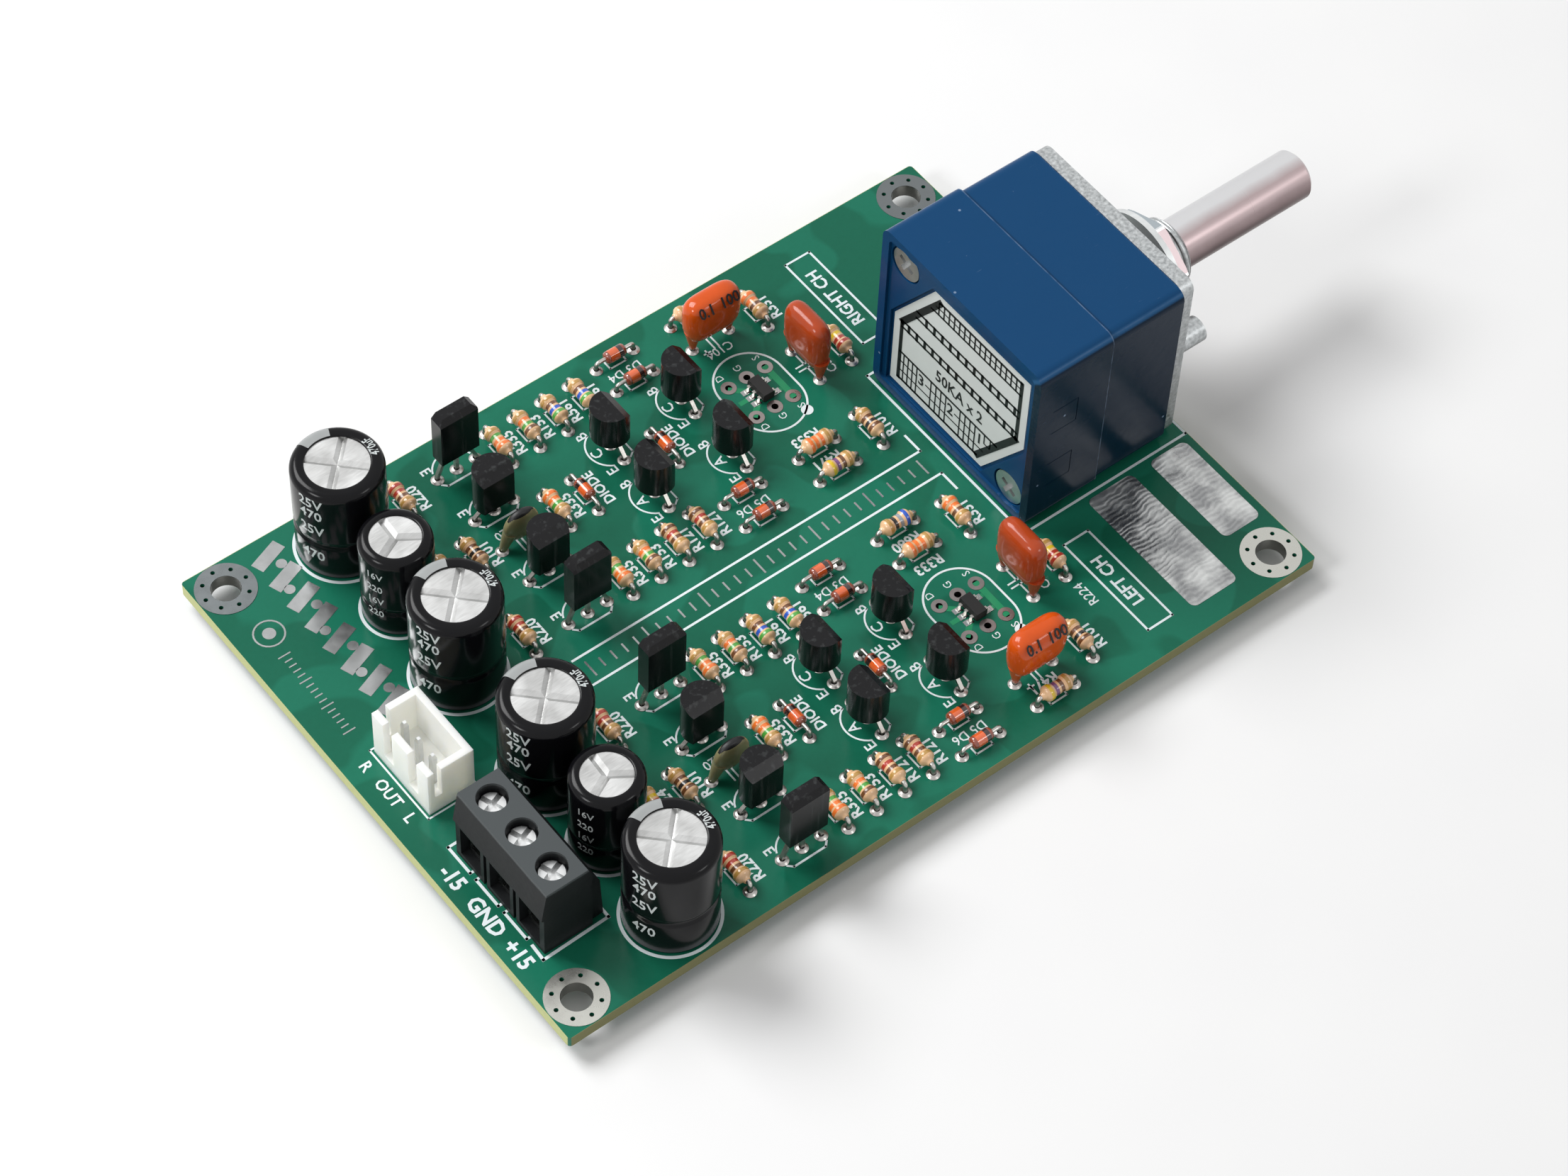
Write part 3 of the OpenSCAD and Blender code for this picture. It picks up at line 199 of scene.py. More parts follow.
class Finish(NodeTree):
    def __init__(self, name, color, roughness, metallic=0.0, coat=0.0, gloss=0.5):
        self.material = bpy.data.materials.new(name)
        self.material.use_nodes = True
        super().__init__(self.material.node_tree)
        self.shader = self.tree.nodes["Principled BSDF"]
        plain = {"Base Color": (*color, 1), "Roughness": roughness, "Metallic": metallic,
                 "Coat Weight": coat, "Coat Roughness": 0.08, "Specular IOR Level": gloss}
        for socket, value in plain.items():
            self.set(socket, value)

    def set(self, name, value):
        self.feed(self.shader.inputs[name], value)

    def place(self):  # object coordinates, in millimetres
        metres = self.node("ShaderNodeTexCoord", {}, {}, "Object")
        return self.node("ShaderNodeVectorMath", {"operation": "SCALE"}, {0: metres, "Scale": 1000})

    def axes(self):
        place = self.place()
        return [self.node("ShaderNodeSeparateXYZ", {}, {0: place}, axis) for axis in "XYZ"]

    def stretched(self, x, y, z):
        return self.node("ShaderNodeVectorMath", {"operation": "MULTIPLY"}, {0: self.place(), 1: (x, y, z)})

    def noise(self, scale, detail=2.0, vector=None):
        inputs = {"Vector": vector or self.place(), "Scale": scale, "Detail": detail}
        return self.node("ShaderNodeTexNoise", {}, inputs, "Fac")

    def ramp(self, value, low, high):
        inputs = {"Value": value, "From Min": low, "From Max": high}
        return self.node("ShaderNodeMapRange", {"clamp": True}, inputs)

    def mix(self, factor, first, second):
        colors = [value if isinstance(value, Signal) else (*value, 1) for value in (first, second)]
        return self.node("ShaderNodeMix", {"data_type": "RGBA"}, {0: factor, 6: colors[0], 7: colors[1]}, 2)

    def cover(self, color, rough, height, strength, distance):  # bump distance in millimetres
        self.set("Base Color", color)
        self.set("Roughness", rough)
        inputs = {"Height": height, "Strength": strength, "Distance": distance * mm}
        self.set("Normal", self.node("ShaderNodeBump", {}, inputs))
        return self.material


# Finishes
low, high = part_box("shaft")
shaftAxis = (low.z + high.z) / 2 / mm


def plasticFinish(name, color, roughness, coat=0.0, grain=6.0, depth=0.15, shift=0.12, gloss=0.5):
    finish = Finish(name, color, roughness, 0.0, coat, gloss)
    cloud = finish.noise(0.5, 3)
    darker = [value * (1 - shift) for value in color]
    lighter = [min(1, value * (1 + shift)) for value in color]
    color = finish.mix(cloud, darker, lighter)
    rough = roughness * 0.85 + finish.noise(1.7, 4) * roughness * 0.3
    return finish.cover(color, rough, finish.noise(grain, 3), depth, 0.02)


def metalFinish(name, color, roughness, grain=4.0, depth=0.2):
    finish = Finish(name, color, roughness, 1.0)
    pattern = finish.noise(grain, 4)
    color = finish.mix(finish.noise(0.8, 3), [value * 0.75 for value in color], color)
    rough = roughness * 0.7 + pattern * roughness * 0.6
    return finish.cover(color, rough, pattern, depth, 0.03)


def boardFinish():
    look = {"mask": (0.007, 0.115, 0.066), "pour": (0.012, 0.165, 0.1), "core": (0.42, 0.44, 0.17),
            "glass": (0.62, 0.66, 0.36), "shaded": (0.09, 0.07, 0.03), "tin": (0.3, 0.3, 0.28), "rim": 0.04,
            "holeX": 46.5, "holeY": 31.5, "holeRadius": 1.78}
    finish = Finish("solderMask", look["mask"], 0.2, 0, 0, 0.16)
    x, y, z = finish.axes()
    pour = finish.ramp(finish.noise(0.11, 1), 0.47, 0.5)
    weave = finish.noise(2.2, 3) * 0.3
    green = finish.mix(pour * 0.7 + weave, look["mask"], look["pour"])
    edge = (abs(x) > board["halfLength"] - look["rim"]).either(abs(y) > board["halfWidth"] - look["rim"])
    layers = finish.noise(1.2, 4, finish.stretched(1, 1, 9))
    # painted shade: the core of the board's edge is darker on the low y side
    shaded = (y < look["rim"] - board["halfWidth"]) * 0.72
    core = finish.mix(shaded, finish.mix(layers, look["core"], look["glass"]), look["shaded"])
    fromHole = ((abs(x) - look["holeX"]) ** 2 + (abs(y) - look["holeY"]) ** 2) ** 0.5
    barrel = fromHole < look["holeRadius"]
    color = finish.mix(barrel, finish.mix(edge, green, core), look["tin"])
    finish.set("Metallic", barrel)
    rough = 0.16 + edge * 0.45 + finish.noise(0.9, 3) * 0.1
    return finish.cover(color, rough, finish.noise(1.1, 3) + pour * 0.5, 0.12, 0.05)


def tinFinish():
    look = {"dull": (0.17, 0.185, 0.19), "bright": (0.52, 0.52, 0.48), "fade": (-4, 22)}
    finish = Finish("tinnedLand", look["dull"], 0.26, 1.0)
    x, y, z = finish.axes()
    # painted reflection: the lands are lightened towards low y
    bright = finish.ramp(finish.noise(0.25, 3) * 12 - y, *look["fade"])  # brighter towards low y
    color = finish.mix(bright, look["dull"], look["bright"])
    rough = 0.2 + finish.noise(0.8, 3) * 0.16
    return finish.cover(color, rough, finish.noise(0.7, 3), 0.12, 0.03)


def panelFinish():
    look = {"dull": (0.25, 0.255, 0.26), "bright": (0.66, 0.67, 0.66)}
    finish = Finish("rippledTin", look["dull"], 0.24, 1.0)
    inputs = {"Vector": finish.place(), "Scale": 0.5, "Distortion": 9.0, "Detail": 3.0, "Detail Scale": 0.9}
    ripple = finish.node("ShaderNodeTexWave", {"bands_direction": "Y"}, inputs, "Fac")
    blots = finish.ramp(finish.noise(0.4, 5), 0.36, 0.64)
    shade = ripple * 0.2 + blots * 0.8
    color = finish.mix(shade, look["dull"], look["bright"])
    rough = 0.22 + blots * 0.16
    return finish.cover(color, rough, ripple * 0.6 + blots * 0.6, 0.3, 0.08)


def caseBlueFinish():
    low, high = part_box("front_case")
    look = {"blue": (0.005, 0.053, 0.148), "shaded": (0.003, 0.015, 0.036), "lit": (0.03, 0.13, 0.3),
            "speck": (0.3, 0.4, 0.55), "joint": low.x / mm, "side": low.y / mm, "top": high.z / mm}
    finish = Finish("caseBlue", look["blue"], 0.24, 0, 0, 0.12)
    specks = finish.node("ShaderNodeTexVoronoi", {}, {"Vector": finish.place(), "Scale": 0.28}, "Distance")
    scratch = finish.noise(3.0, 3, finish.stretched(0.25, 1.6, 1.6))
    x, y, z = finish.axes()
    ahead = x - look["joint"]
    # partly wear and partly a painted highlight: a thin band just behind the joint is lightened
    worn = (abs(ahead + 0.06) < 0.07) * finish.ramp(finish.noise(0.5, 3), 0.35, 0.6) * 0.3
    marks = finish.ramp(specks, 0.05, 0.035) * 0.6 + finish.ramp(scratch, 0.72, 0.8) * 0.12 + worn
    slope = y + z - (look["side"] + look["top"])  # nil along the middle of the rounded edge
    # painted shade: the low y side below the rounded edge is darkened
    paintedSideShade = finish.ramp(slope, -0.2, -0.6) * (y < look["side"] + 0.75)
    # painted shade: a narrow band just ahead of the joint is darkened as well
    shade = ((ahead > 0) * (ahead < 0.35) * 0.3).either(paintedSideShade)
    blue = finish.mix(shade, look["blue"], look["shaded"])
    # painted highlight: a lighter blue band along the middle of the rounded top edge on the low y side
    lit = finish.ramp(abs(slope), 0.55, 0.15) * (z > look["top"] - 1.5) * (y < look["side"] + 1.5) * 0.6
    blue = finish.mix(lit, blue, look["lit"])
    color = finish.mix(marks, blue, look["speck"])
    rough = 0.18 + finish.noise(0.6, 4) * 0.12
    return finish.cover(color, rough, finish.noise(0.35, 2) + scratch * 0.05, 0.2, 0.25)


def epoxyFinish():
    look = {"black": (0.006, 0.006, 0.007), "streakSheen": (0.05, 0.054, 0.055)}
    finish = Finish("blackEpoxy", look["black"], 0.22, 0, 0, 0.22)
    # painted reflection: lighter vertical streaks on the black epoxy
    paintedStreaks = finish.ramp(finish.noise(0.9, 4, finish.stretched(1.7, 1.7, 0.12)), 0.55, 0.7)
    color = finish.mix(paintedStreaks * 0.6, look["black"], look["streakSheen"])
    rough = 0.18 + finish.noise(1.7, 4) * 0.06
    return finish.cover(color, rough, finish.noise(1.5, 3, finish.stretched(1, 1, 0.3)), 0.15, 0.02)


def blockFinish():
    look = {"deck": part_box("terminal_block")[1].z / mm - 0.3, "sheenColor": (0.075, 0.084, 0.087),
            "dark": (0.008, 0.009, 0.01), "plain": (0.014, 0.015, 0.016)}
    finish = Finish("blockPlastic", look["plain"], 0.42, 0, 0, 0.12)
    x, y, z = finish.axes()
    # painted sheen: the top face above the deck level is lighter
    topSheen = finish.ramp(z + finish.noise(0.4, 3) * 0.3, look["deck"], look["deck"] + 0.2)
    plain = finish.mix(finish.noise(0.5, 3), look["dark"], look["plain"])
    color = finish.mix(topSheen, plain, look["sheenColor"])
    rough = 0.38 + finish.noise(2.0, 3) * 0.14
    return finish.cover(color, rough, finish.noise(5, 3), 0.2, 0.02)


def nylonFinish():
    look = {"white": (0.86, 0.86, 0.82), "cream": (0.83, 0.82, 0.77), "reach": 0.002, "paintedGlow": 0.09}
    finish = Finish("whiteNylon", look["white"], 0.36)
    finish.set("Subsurface Weight", 0.7)
    finish.set("Subsurface Radius", (1.0, 0.9, 0.7))
    finish.set("Subsurface Scale", look["reach"])
    # painted light: a faint emission brightens the nylon, which is no lamp
    finish.set("Emission Color", (1.0, 1.0, 0.93, 1))
    finish.set("Emission Strength", look["paintedGlow"])
    color = finish.mix(finish.noise(0.6, 3), look["cream"], look["white"])
    rough = 0.32 + finish.noise(1.5, 3) * 0.12
    return finish.cover(color, rough, finish.noise(1.2, 3), 0.08, 0.02)


def zincFinish():
    look = {"faceX": 49.2, "inner": 3.9, "outer": 4.1, "pitch": 0.75,
            "dull": (0.3, 0.315, 0.32), "bright": (0.55, 0.57, 0.575), "groove": (0.08, 0.08, 0.08)}
    finish = Finish("castZinc", look["dull"], 0.36, 1.0)
    x, y, z = finish.axes()
    height = z - shaftAxis
    radius = (y ** 2 + height ** 2) ** 0.5
    angle = height.combine("ARCTAN2", y)
    turns = x * (1 / look["pitch"]) + angle * (1 / math.tau)
    ridge = turns.combine("PINGPONG", 0.5) * 2
    threaded = (x > look["faceX"]) * (radius < look["outer"]) * (radius > look["inner"])
    grain = finish.ramp(finish.noise(2.6, 5), 0.3, 0.7)
    worn = finish.mix(grain, look["dull"], look["bright"])
    # painted shade: the thread's grooves on the bushing are darkened
    color = finish.mix(threaded * ridge, worn, look["groove"])
    rough = 0.3 + grain * 0.18
    return finish.cover(color, rough, grain * 0.05 + threaded * ridge * 3, 0.7, 0.12)


def shaftFinish():
    look = {"highlight": (0.66, 0.66, 0.67), "rose": (0.44, 0.35, 0.355), "dark": (0.13, 0.09, 0.09)}
    finish = Finish("turnedSteel", look["rose"], 0.26, 1.0)
    rings = finish.noise(1.0, 5, finish.stretched(9, 0.02, 0.02))
    x, y, z = finish.axes()
    # painted reflection and shade: the shaft is lighter towards its upper +Y side and dark underneath
    towardsLitSide = y * 0.87 + (z - shaftAxis) * 0.49 + finish.noise(0.25, 4) * 0.6 - 0.3
    paintedUpperLight = finish.mix(finish.ramp(towardsLitSide, 0.2, 1.5), look["rose"], look["highlight"])
    color = finish.mix(finish.ramp(towardsLitSide, -1.2, -2.8), paintedUpperLight, look["dark"])
    rough = 0.24 + rings * 0.12
    return finish.cover(color, rough, rings, 0.07, 0.02)


def nutFinish():
    look = {"top": (0.4, 0.45, 0.48), "front": (0.5, 0.41, 0.42),
            "low": (0.26, 0.2, 0.2), "worn": (0.85, 0.87, 0.88), "corners": (1.69, 2.74), "edge": 0.045}
    finish = Finish("steelNut", look["top"], 0.22, 1.0)
    x, y, z = finish.axes()
    angle = (z - shaftAxis).combine("ARCTAN2", y)
    under = angle < -1.0
    first, second = look["corners"]
    # painted reflection and shade: each facet gets its own tone by its angle round the axis, darkest
    # underneath
    color = finish.mix((angle > first).either(under), look["top"], look["front"])
    color = finish.mix((angle > second).either(under), color, look["low"])
    # painted highlight: a light line along two of the corners
    edges = (abs(angle - first) < look["edge"]).either(abs(angle - second) < look["edge"])
    color = finish.mix(edges * 0.7, color, look["worn"])
    rough = 0.24 + finish.noise(2.0, 3) * 0.12
    return finish.cover(color, rough, finish.noise(1.5, 3), 0.05, 0.03)


def aluminiumFinish():
    look = {"dull": (0.34, 0.34, 0.335), "bright": (0.68, 0.685, 0.68)}
    finish = Finish("drawnAluminium", look["dull"], 0.3, 1.0)
    brush = finish.noise(2.2, 5, finish.stretched(0.4, 5, 1))
    cloud = finish.ramp(finish.noise(0.28, 2), 0.35, 0.65)
    color = finish.mix(brush * 0.5 + cloud * 0.5, look["dull"], look["bright"])
    rough = 0.24 + brush * 0.2
    return finish.cover(color, rough, brush + finish.noise(0.4, 2) * 2, 0.2, 0.03)


finishes = {
    "board": boardFinish(),
    "tin": tinFinish(),
    "mark": metalFinish("tinnedMark", (0.42, 0.43, 0.43), 0.24, 0.7, 0.15),
    "ring": metalFinish("platedRing", (0.33, 0.29, 0.28), 0.3, 0.7, 0.15),
    "nut": nutFinish(),
    "panel": panelFinish(),
    "bright": metalFinish("brightSteel", (0.68, 0.69, 0.69), 0.36, 2.0, 0.15),
    "washer": metalFinish("washerSteel", (0.72, 0.74, 0.74), 0.48, 2.0, 0.1),
    "solder": metalFinish("solder", (0.47, 0.45, 0.43), 0.34, 1.2, 0.1),
    "wire": metalFinish("tinnedWire", (0.52, 0.5, 0.47), 0.3, 2.5, 0.1),
    "plated": metalFinish("platedSteel", (0.36, 0.37, 0.365), 0.24, 2.0, 0.25),
    "epoxy": epoxyFinish(),
    "chip": plasticFinish("chipEpoxy", (0.02, 0.02, 0.02), 0.5, 0, 12, 0.3, 0.12, 0.2),
    "sleeve": plasticFinish("shrunkSleeve", (0.004, 0.004, 0.005), 0.16, 0, 0.5, 0.1, 0.12, 0.16),
    "aluminium": aluminiumFinish(),
    "rubber": plasticFinish("sealRubber", (0.02, 0.02, 0.02), 0.7),
    "nylon": nylonFinish(),
    "block": blockFinish(),
    "blue": caseBlueFinish(),
    "zinc": zincFinish(),
    "shaft": shaftFinish(),
    "label": plasticFinish("labelPaper", (0.76, 0.79, 0.78), 0.4, 0, 3, 0.05, 0.04),
    "laminate": plasticFinish("brownLaminate", (0.3, 0.14, 0.06), 0.5),
    "carbon": plasticFinish("carbonTrack", (0.02, 0.02, 0.02), 0.3),
    "rotor": plasticFinish("rotorPlastic", (0.7, 0.7, 0.66), 0.4),
    "bronze": metalFinish("springBronze", (0.75, 0.5, 0.25), 0.25),
    "orange": plasticFinish("orangeDip", (0.66, 0.085, 0.006), 0.14, 0.15, 0.7, 0.2, 0.15, 0.25),
    "brown": plasticFinish("brownDip", (0.44, 0.058, 0.012), 0.16, 0.15, 0.7, 0.2, 0.18, 0.25),
    "olive": plasticFinish("oliveDip", (0.25, 0.23, 0.115), 0.3, 0.2, 1.5, 0.25, 0.22),
    "ink": plasticFinish("whiteInk", (0.78, 0.85, 0.87), 0.45, 0, 3, 0.1, 0.05, 0.3),
    "blackInk": plasticFinish("blackInk", (0.012, 0.012, 0.013), 0.4, 0, 6, 0.15, 0.12, 0.3),
    "paleInk": plasticFinish("paleInk", (0.6, 0.64, 0.64), 0.3, 0, 6, 0.15, 0.12, 0.3),
    "greyInk": plasticFinish("greyInk", (0.34, 0.355, 0.355), 0.25, 0, 6, 0.15, 0.12, 0.3),
    "trace": plasticFinish("maskedCopper", (0.02, 0.25, 0.11), 0.2, 0, 2, 0.1, 0.12, 0.2),
}

nodeFinishes = {
    "board": ["circuit_board"], "tin": ["mounting_lands"], "panel": ["tinned_panels"],
    "ring": ["adapter_pads"], "mark": ["chip_lands"], "solder": ["solder_joints", "connector_joints"],
    "wire": ["resistor_leads", "signal_diode_leads", "bias_diode_leads", "small_transistor_legs",
             "driver_legs", "output_legs", "input_fet_legs", "input_capacitor_leads",
             "filter_capacitor_leads", "ceramic_leads", "can_leads"],
    "epoxy": ["small_transistors", "driver_transistors", "output_transistors"], "chip": ["input_fets"],
    "aluminium": ["reservoir_cans", "coupling_cans"], "sleeve": ["reservoir_sleeves", "coupling_sleeves"],
    "rubber": ["can_seals"], "nylon": ["header_shell"], "block": ["terminal_block"],
    "bright": ["header_pins", "clamp_screw_1", "clamp_screw_2", "clamp_screw_3", "case_screws"],
    "plated": ["terminal_contacts", "wire_clamp_1", "wire_clamp_2", "wire_clamp_3", "control_tags",
               "shaft_clip"],
    "blue": ["front_case", "rear_case", "rear_cover"], "zinc": ["front_plate"], "label": ["rating_label"],
    "laminate": ["element_wafers"], "carbon": ["resistance_tracks"], "rotor": ["rotors", "resistor_bodies"],
    "bronze": ["wipers"], "shaft": ["shaft"], "washer": ["washer"], "nut": ["nut"],
    "orange": ["signal_diode_bodies", "bias_diode_bodies", "input_capacitors"],
    "brown": ["filter_capacitors"], "olive": ["ceramic_capacitors"],
}
for finish, nodes in nodeFinishes.items():
    for name in nodes:
        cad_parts[name].data.materials.clear()
        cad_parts[name].data.materials.append(finishes[finish])
print("finishes given to the nodes")


# A cut thread on the bushing, from the nut to the bushing's end
def threadMesh():
    look = {"start": 55.05, "pitch": 0.75, "turns": 2.3, "root": 3.86, "paintedSideShade": 3.99, "crest": 4.16}
    bm = bmesh.new()
    half = look["pitch"] * 0.48
    corners = [(-half, look["root"]), (-half, look["paintedSideShade"]), (-0.06, look["crest"]), (0.06, look["crest"]),
               (half, look["paintedSideShade"]), (half, look["root"])]
    points = [bm.verts.new((look["start"] + along, 0, radius)) for along, radius in corners]
    edges = [bm.edges.new((points[i], points[(i + 1) % 6])) for i in range(6)]
    steps = round(40 * look["turns"])
    rise = look["pitch"] * look["turns"] / steps
    bmesh.ops.spin(bm, geom=points + edges, cent=(0, 0, 0), axis=(1, 0, 0), dvec=(rise, 0, 0),
                   angle=math.tau * look["turns"], steps=steps)
    bmesh.ops.holes_fill(bm, edges=[edge for edge in bm.edges if edge.is_boundary], sides=6)
    bmesh.ops.translate(bm, vec=(0, 0, shaftAxis), verts=bm.verts)
    return bm


makePiece("bushingThread", threadMesh(), [finishes["zinc"]], limit=20)


# White ink: lines, arcs and letters
ink = {"width": 0.2, "thick": 0.03}


def stroke(bm, start, end, width=None, level=None):
    width = width or ink["width"]
    start, end = Vector(start), Vector(end)
    run = end - start
    middle = (start + end) / 2
    z = (board["top"] if level is None else level) + ink["thick"] / 2
    matrix = Matrix.Translation((middle.x, middle.y, z)) @ Matrix.Rotation(math.atan2(run.y, run.x), 4, "Z")
    size = Matrix.Diagonal((run.length + width * 0.9, width, ink["thick"], 1))
    bmesh.ops.create_cube(bm, size=1, matrix=matrix @ size)


def strokes(bm, points, width=None, x=0, y=0):  # points may be given from a part's own middle
    corners = [(x + along, y + across) for along, across in points]
    for start, end in zip(corners, corners[1:]):
        stroke(bm, start, end, width)


def outline(bm, x, y, halfX, halfY, width=None):
    corners = [(-halfX, -halfY), (halfX, -halfY), (halfX, halfY), (-halfX, halfY), (-halfX, -halfY)]
    strokes(bm, corners, width, x, y)


def disc(bm, radius, x, y, segments=28):
    cone(bm, radius, radius, ink["thick"], standing(x, y, board["top"] + ink["thick"] / 2), segments)


def arc(bm, x, y, radius, first, last, width=None):  # a printed band, swept round its middle
    width = width or ink["width"]
    turn = math.radians(last - first)
    band = bmesh.new()
    corners = [band.verts.new((radius + side * width / 2, 0, height))
               for side, height in ((-1, 0), (1, 0), (1, ink["thick"]), (-1, ink["thick"]))]
    edges = [band.edges.new((corners[i], corners[(i + 1) % 4])) for i in range(4)]
    bmesh.ops.spin(band, geom=corners + edges, cent=(0, 0, 0), axis=(0, 0, 1), angle=turn,
                   steps=max(6, round(abs(turn) * radius / 0.45)), use_merge=last - first == 360)
    bmesh.ops.holes_fill(band, edges=[edge for edge in band.edges if edge.is_boundary], sides=4)
    addCopy(bm, toMesh(band), standing(x, y, board["top"], first))


def letterMesh(words, height, bold=0.0, narrow=0.94, thick=0.03):  # height of a capital
    curve = bpy.data.curves.new("letters", "FONT")
    curve.body = words
    curve.size = height / 0.73
    curve.resolution_u = 2
    curve.align_x = "CENTER"
    curve.align_y = "CENTER"
    curve.extrude = thick / 2
    curve.offset = bold
    holder = bpy.data.objects.new("letters", curve)
    scene.collection.objects.link(holder)
    bpy.context.view_layer.update()
    mesh = bpy.data.meshes.new_from_object(holder)
    mesh.transform(Matrix.Translation((0, 0, thick / 2)) @ Matrix.Diagonal((narrow, 1, 1, 1)))
    bpy.data.objects.remove(holder)
    return mesh


def write(bm, words, x, y, turn=90, height=1.2, bold=0.012):
    addCopy(bm, letterMesh(words, height, bold), standing(x, y, board["top"], turn))


def sign(bm, x, y, half=1.3):  # a capacitor's two plates
    for s in (-1, 1):
        stroke(bm, (x + s * 0.3, y - half), (x + s * 0.3, y + half))


def drawChannel(bm, middle):
    look = {"reservoirs": 5.3, "coupling": 4.22, "ring": 0.36, "powerArc": (2.65, 20, 158),
            "powerFoot": [(-2.5, -0.85), (-2, -1.35), (2.1, -1.35), (2.6, -0.85)],
            "smallBack": [(0.9, 2.55), (1.5, 2.1), (1.5, -2.1), (0.9, -2.55)], "smallArc": (2.8, 116, 244),
            "signalDiodes": (0.75, 1), "biasDiodes": (1.1, 0.7), "adapter": (15.65, 2.6, -0.9, 4.15),
            "fine": 0.24, "spot": (18.3, -4.2), "spotRadius": 0.7}
    for kind in ("reservoirs", "coupling"):
        for x, y in spots[kind]:
            arc(bm, x, middle + y, look[kind], 0, 360, look["ring"])
    for x, y in spots["power"]:
        strokes(bm, look["powerFoot"], look["fine"], x, middle + y)
        arc(bm, x, middle + y, *look["powerArc"])
    for x, y in spots["small"]:
        arc(bm, x, middle + y, *look["smallArc"])
        strokes(bm, look["smallBack"], None, x, middle + y)
    x, high, low, radius = look["adapter"]
    arc(bm, x, middle + high, radius, 0, 180, look["fine"])
    arc(bm, x, middle + low, radius, 180, 360, look["fine"])
    for s in (-1, 1):
        stroke(bm, (x + s * radius, middle - 0.8), (x + s * radius, middle + 2.5), look["fine"])
    x, y = look["spot"]
    disc(bm, look["spotRadius"], x, middle + y, 24)
    for kind in ("signalDiodes", "biasDiodes"):
        for x, y in spots[kind]:
            outline(bm, x, middle + y, *look[kind])
    for x, y in spots["filter"]:
        for s in (1, -1):
            plate = middle + y + s * 0.3
            stroke(bm, (x, plate + s * 2.1), (x, plate))
            stroke(bm, (x - 1.1, plate), (x + 1.1, plate))
    sign(bm, -17.6, middle)


def drawLines():
    look = {"stripX": (-22.5, 24.7), "strip": ((1.9, 2.6), (-1.86, -2.6)), "stripLine": 0.28,
            "control": (38.2, 0, 11.6, 13.6), "header": (-42.85, 0, 3.25, 5.3),
            "names": ((30.8, 24.55, 1.7, 7.05), (30.8, -24.4, 1.7, 7)), "block": (-46.5, -9.3),
            "tab": 4.9, "tabShape": [(1.4, 0), (0, 0), (0, -3.9), (1.4, -3.9)],
            "blockEnd": [(-46.5, -24), (-46.6, -26), (-38.3, -25.8), (-38.3, -24.6)]}
    bm = bmesh.new()
    start, end = look["stripX"]
    for y, tick in look["strip"]:
        strokes(bm, [(start, y), (end, y), (end, y + tick)], look["stripLine"])
    outline(bm, *look["control"], 0.3)
    for place in look["names"]:
        outline(bm, *place, 0.26)
    for middle in channels.values():
        drawChannel(bm, middle)
    for x, y in inputSpots:  # signs of the input capacitors
        stroke(bm, (x - 1.8, y - 1.3), (x - 1, y - 1.3))
        stroke(bm, (x - 1.4, y - 0.9), (x - 1.4, y - 1.7))
        sign(bm, x, y, 1.2)
    outline(bm, *look["header"])
    x, y = look["block"]
    for i in range(3):  # stepped outline of the terminal block
        strokes(bm, look["tabShape"], 0.32, x, y - look["tab"] * i)
    strokes(bm, look["blockEnd"], 0.36)
    return bm


resistors = {
    "height": 1.5,
    "bands": {"335": "orange orange green gold", "533": "gold green orange orange",
              "153": "brown green orange gold", "561": "green blue brown gold",
              "121": "gold brown red brown", "220": "gold brown red red", "101": "brown black brown gold",
              "224": "red red yellow gold", "331": "gold brown orange orange",
              "680": "gold black grey blue", "333": "orange orange orange gold",
              "471": "yellow violet brown gold"},
    "upright": [(-12.2, 11.5, "335"), (-8.45, 11.5, "153"), (-4.7, 11.5, "561"), (-0.95, 11.5, "561"),
                (-12.2, -10.5, "335"), (-8.45, -10.5, "153"), (-4.7, -10.5, "121"), (-0.95, -10.5, "121"),
                (-12.2, 0.8, "533"), (-25, 11.5, "220"), (-25, -10.5, "220"), (-23.1, 0.8, "101"),
                (-26.9, 0.8, "224"), (26.5, 0.8, "224")],
    "input": {"right": [(22, 10.2, "331"), (22, -10.5, "101")],
              "left": [(22, 11.4, "331"), (22, -9.1, "101")]},
    "lying": {"right": [(15.7, 14, "680", -1.85), (15.7, -9.2, "333", 2), (15.7, -13, "471", 2)],
              "left": [(15.7, 14, "680", -1.85), (15.7, 10.2, "333", -1.85), (15.7, -13, "471", 2)]},
}


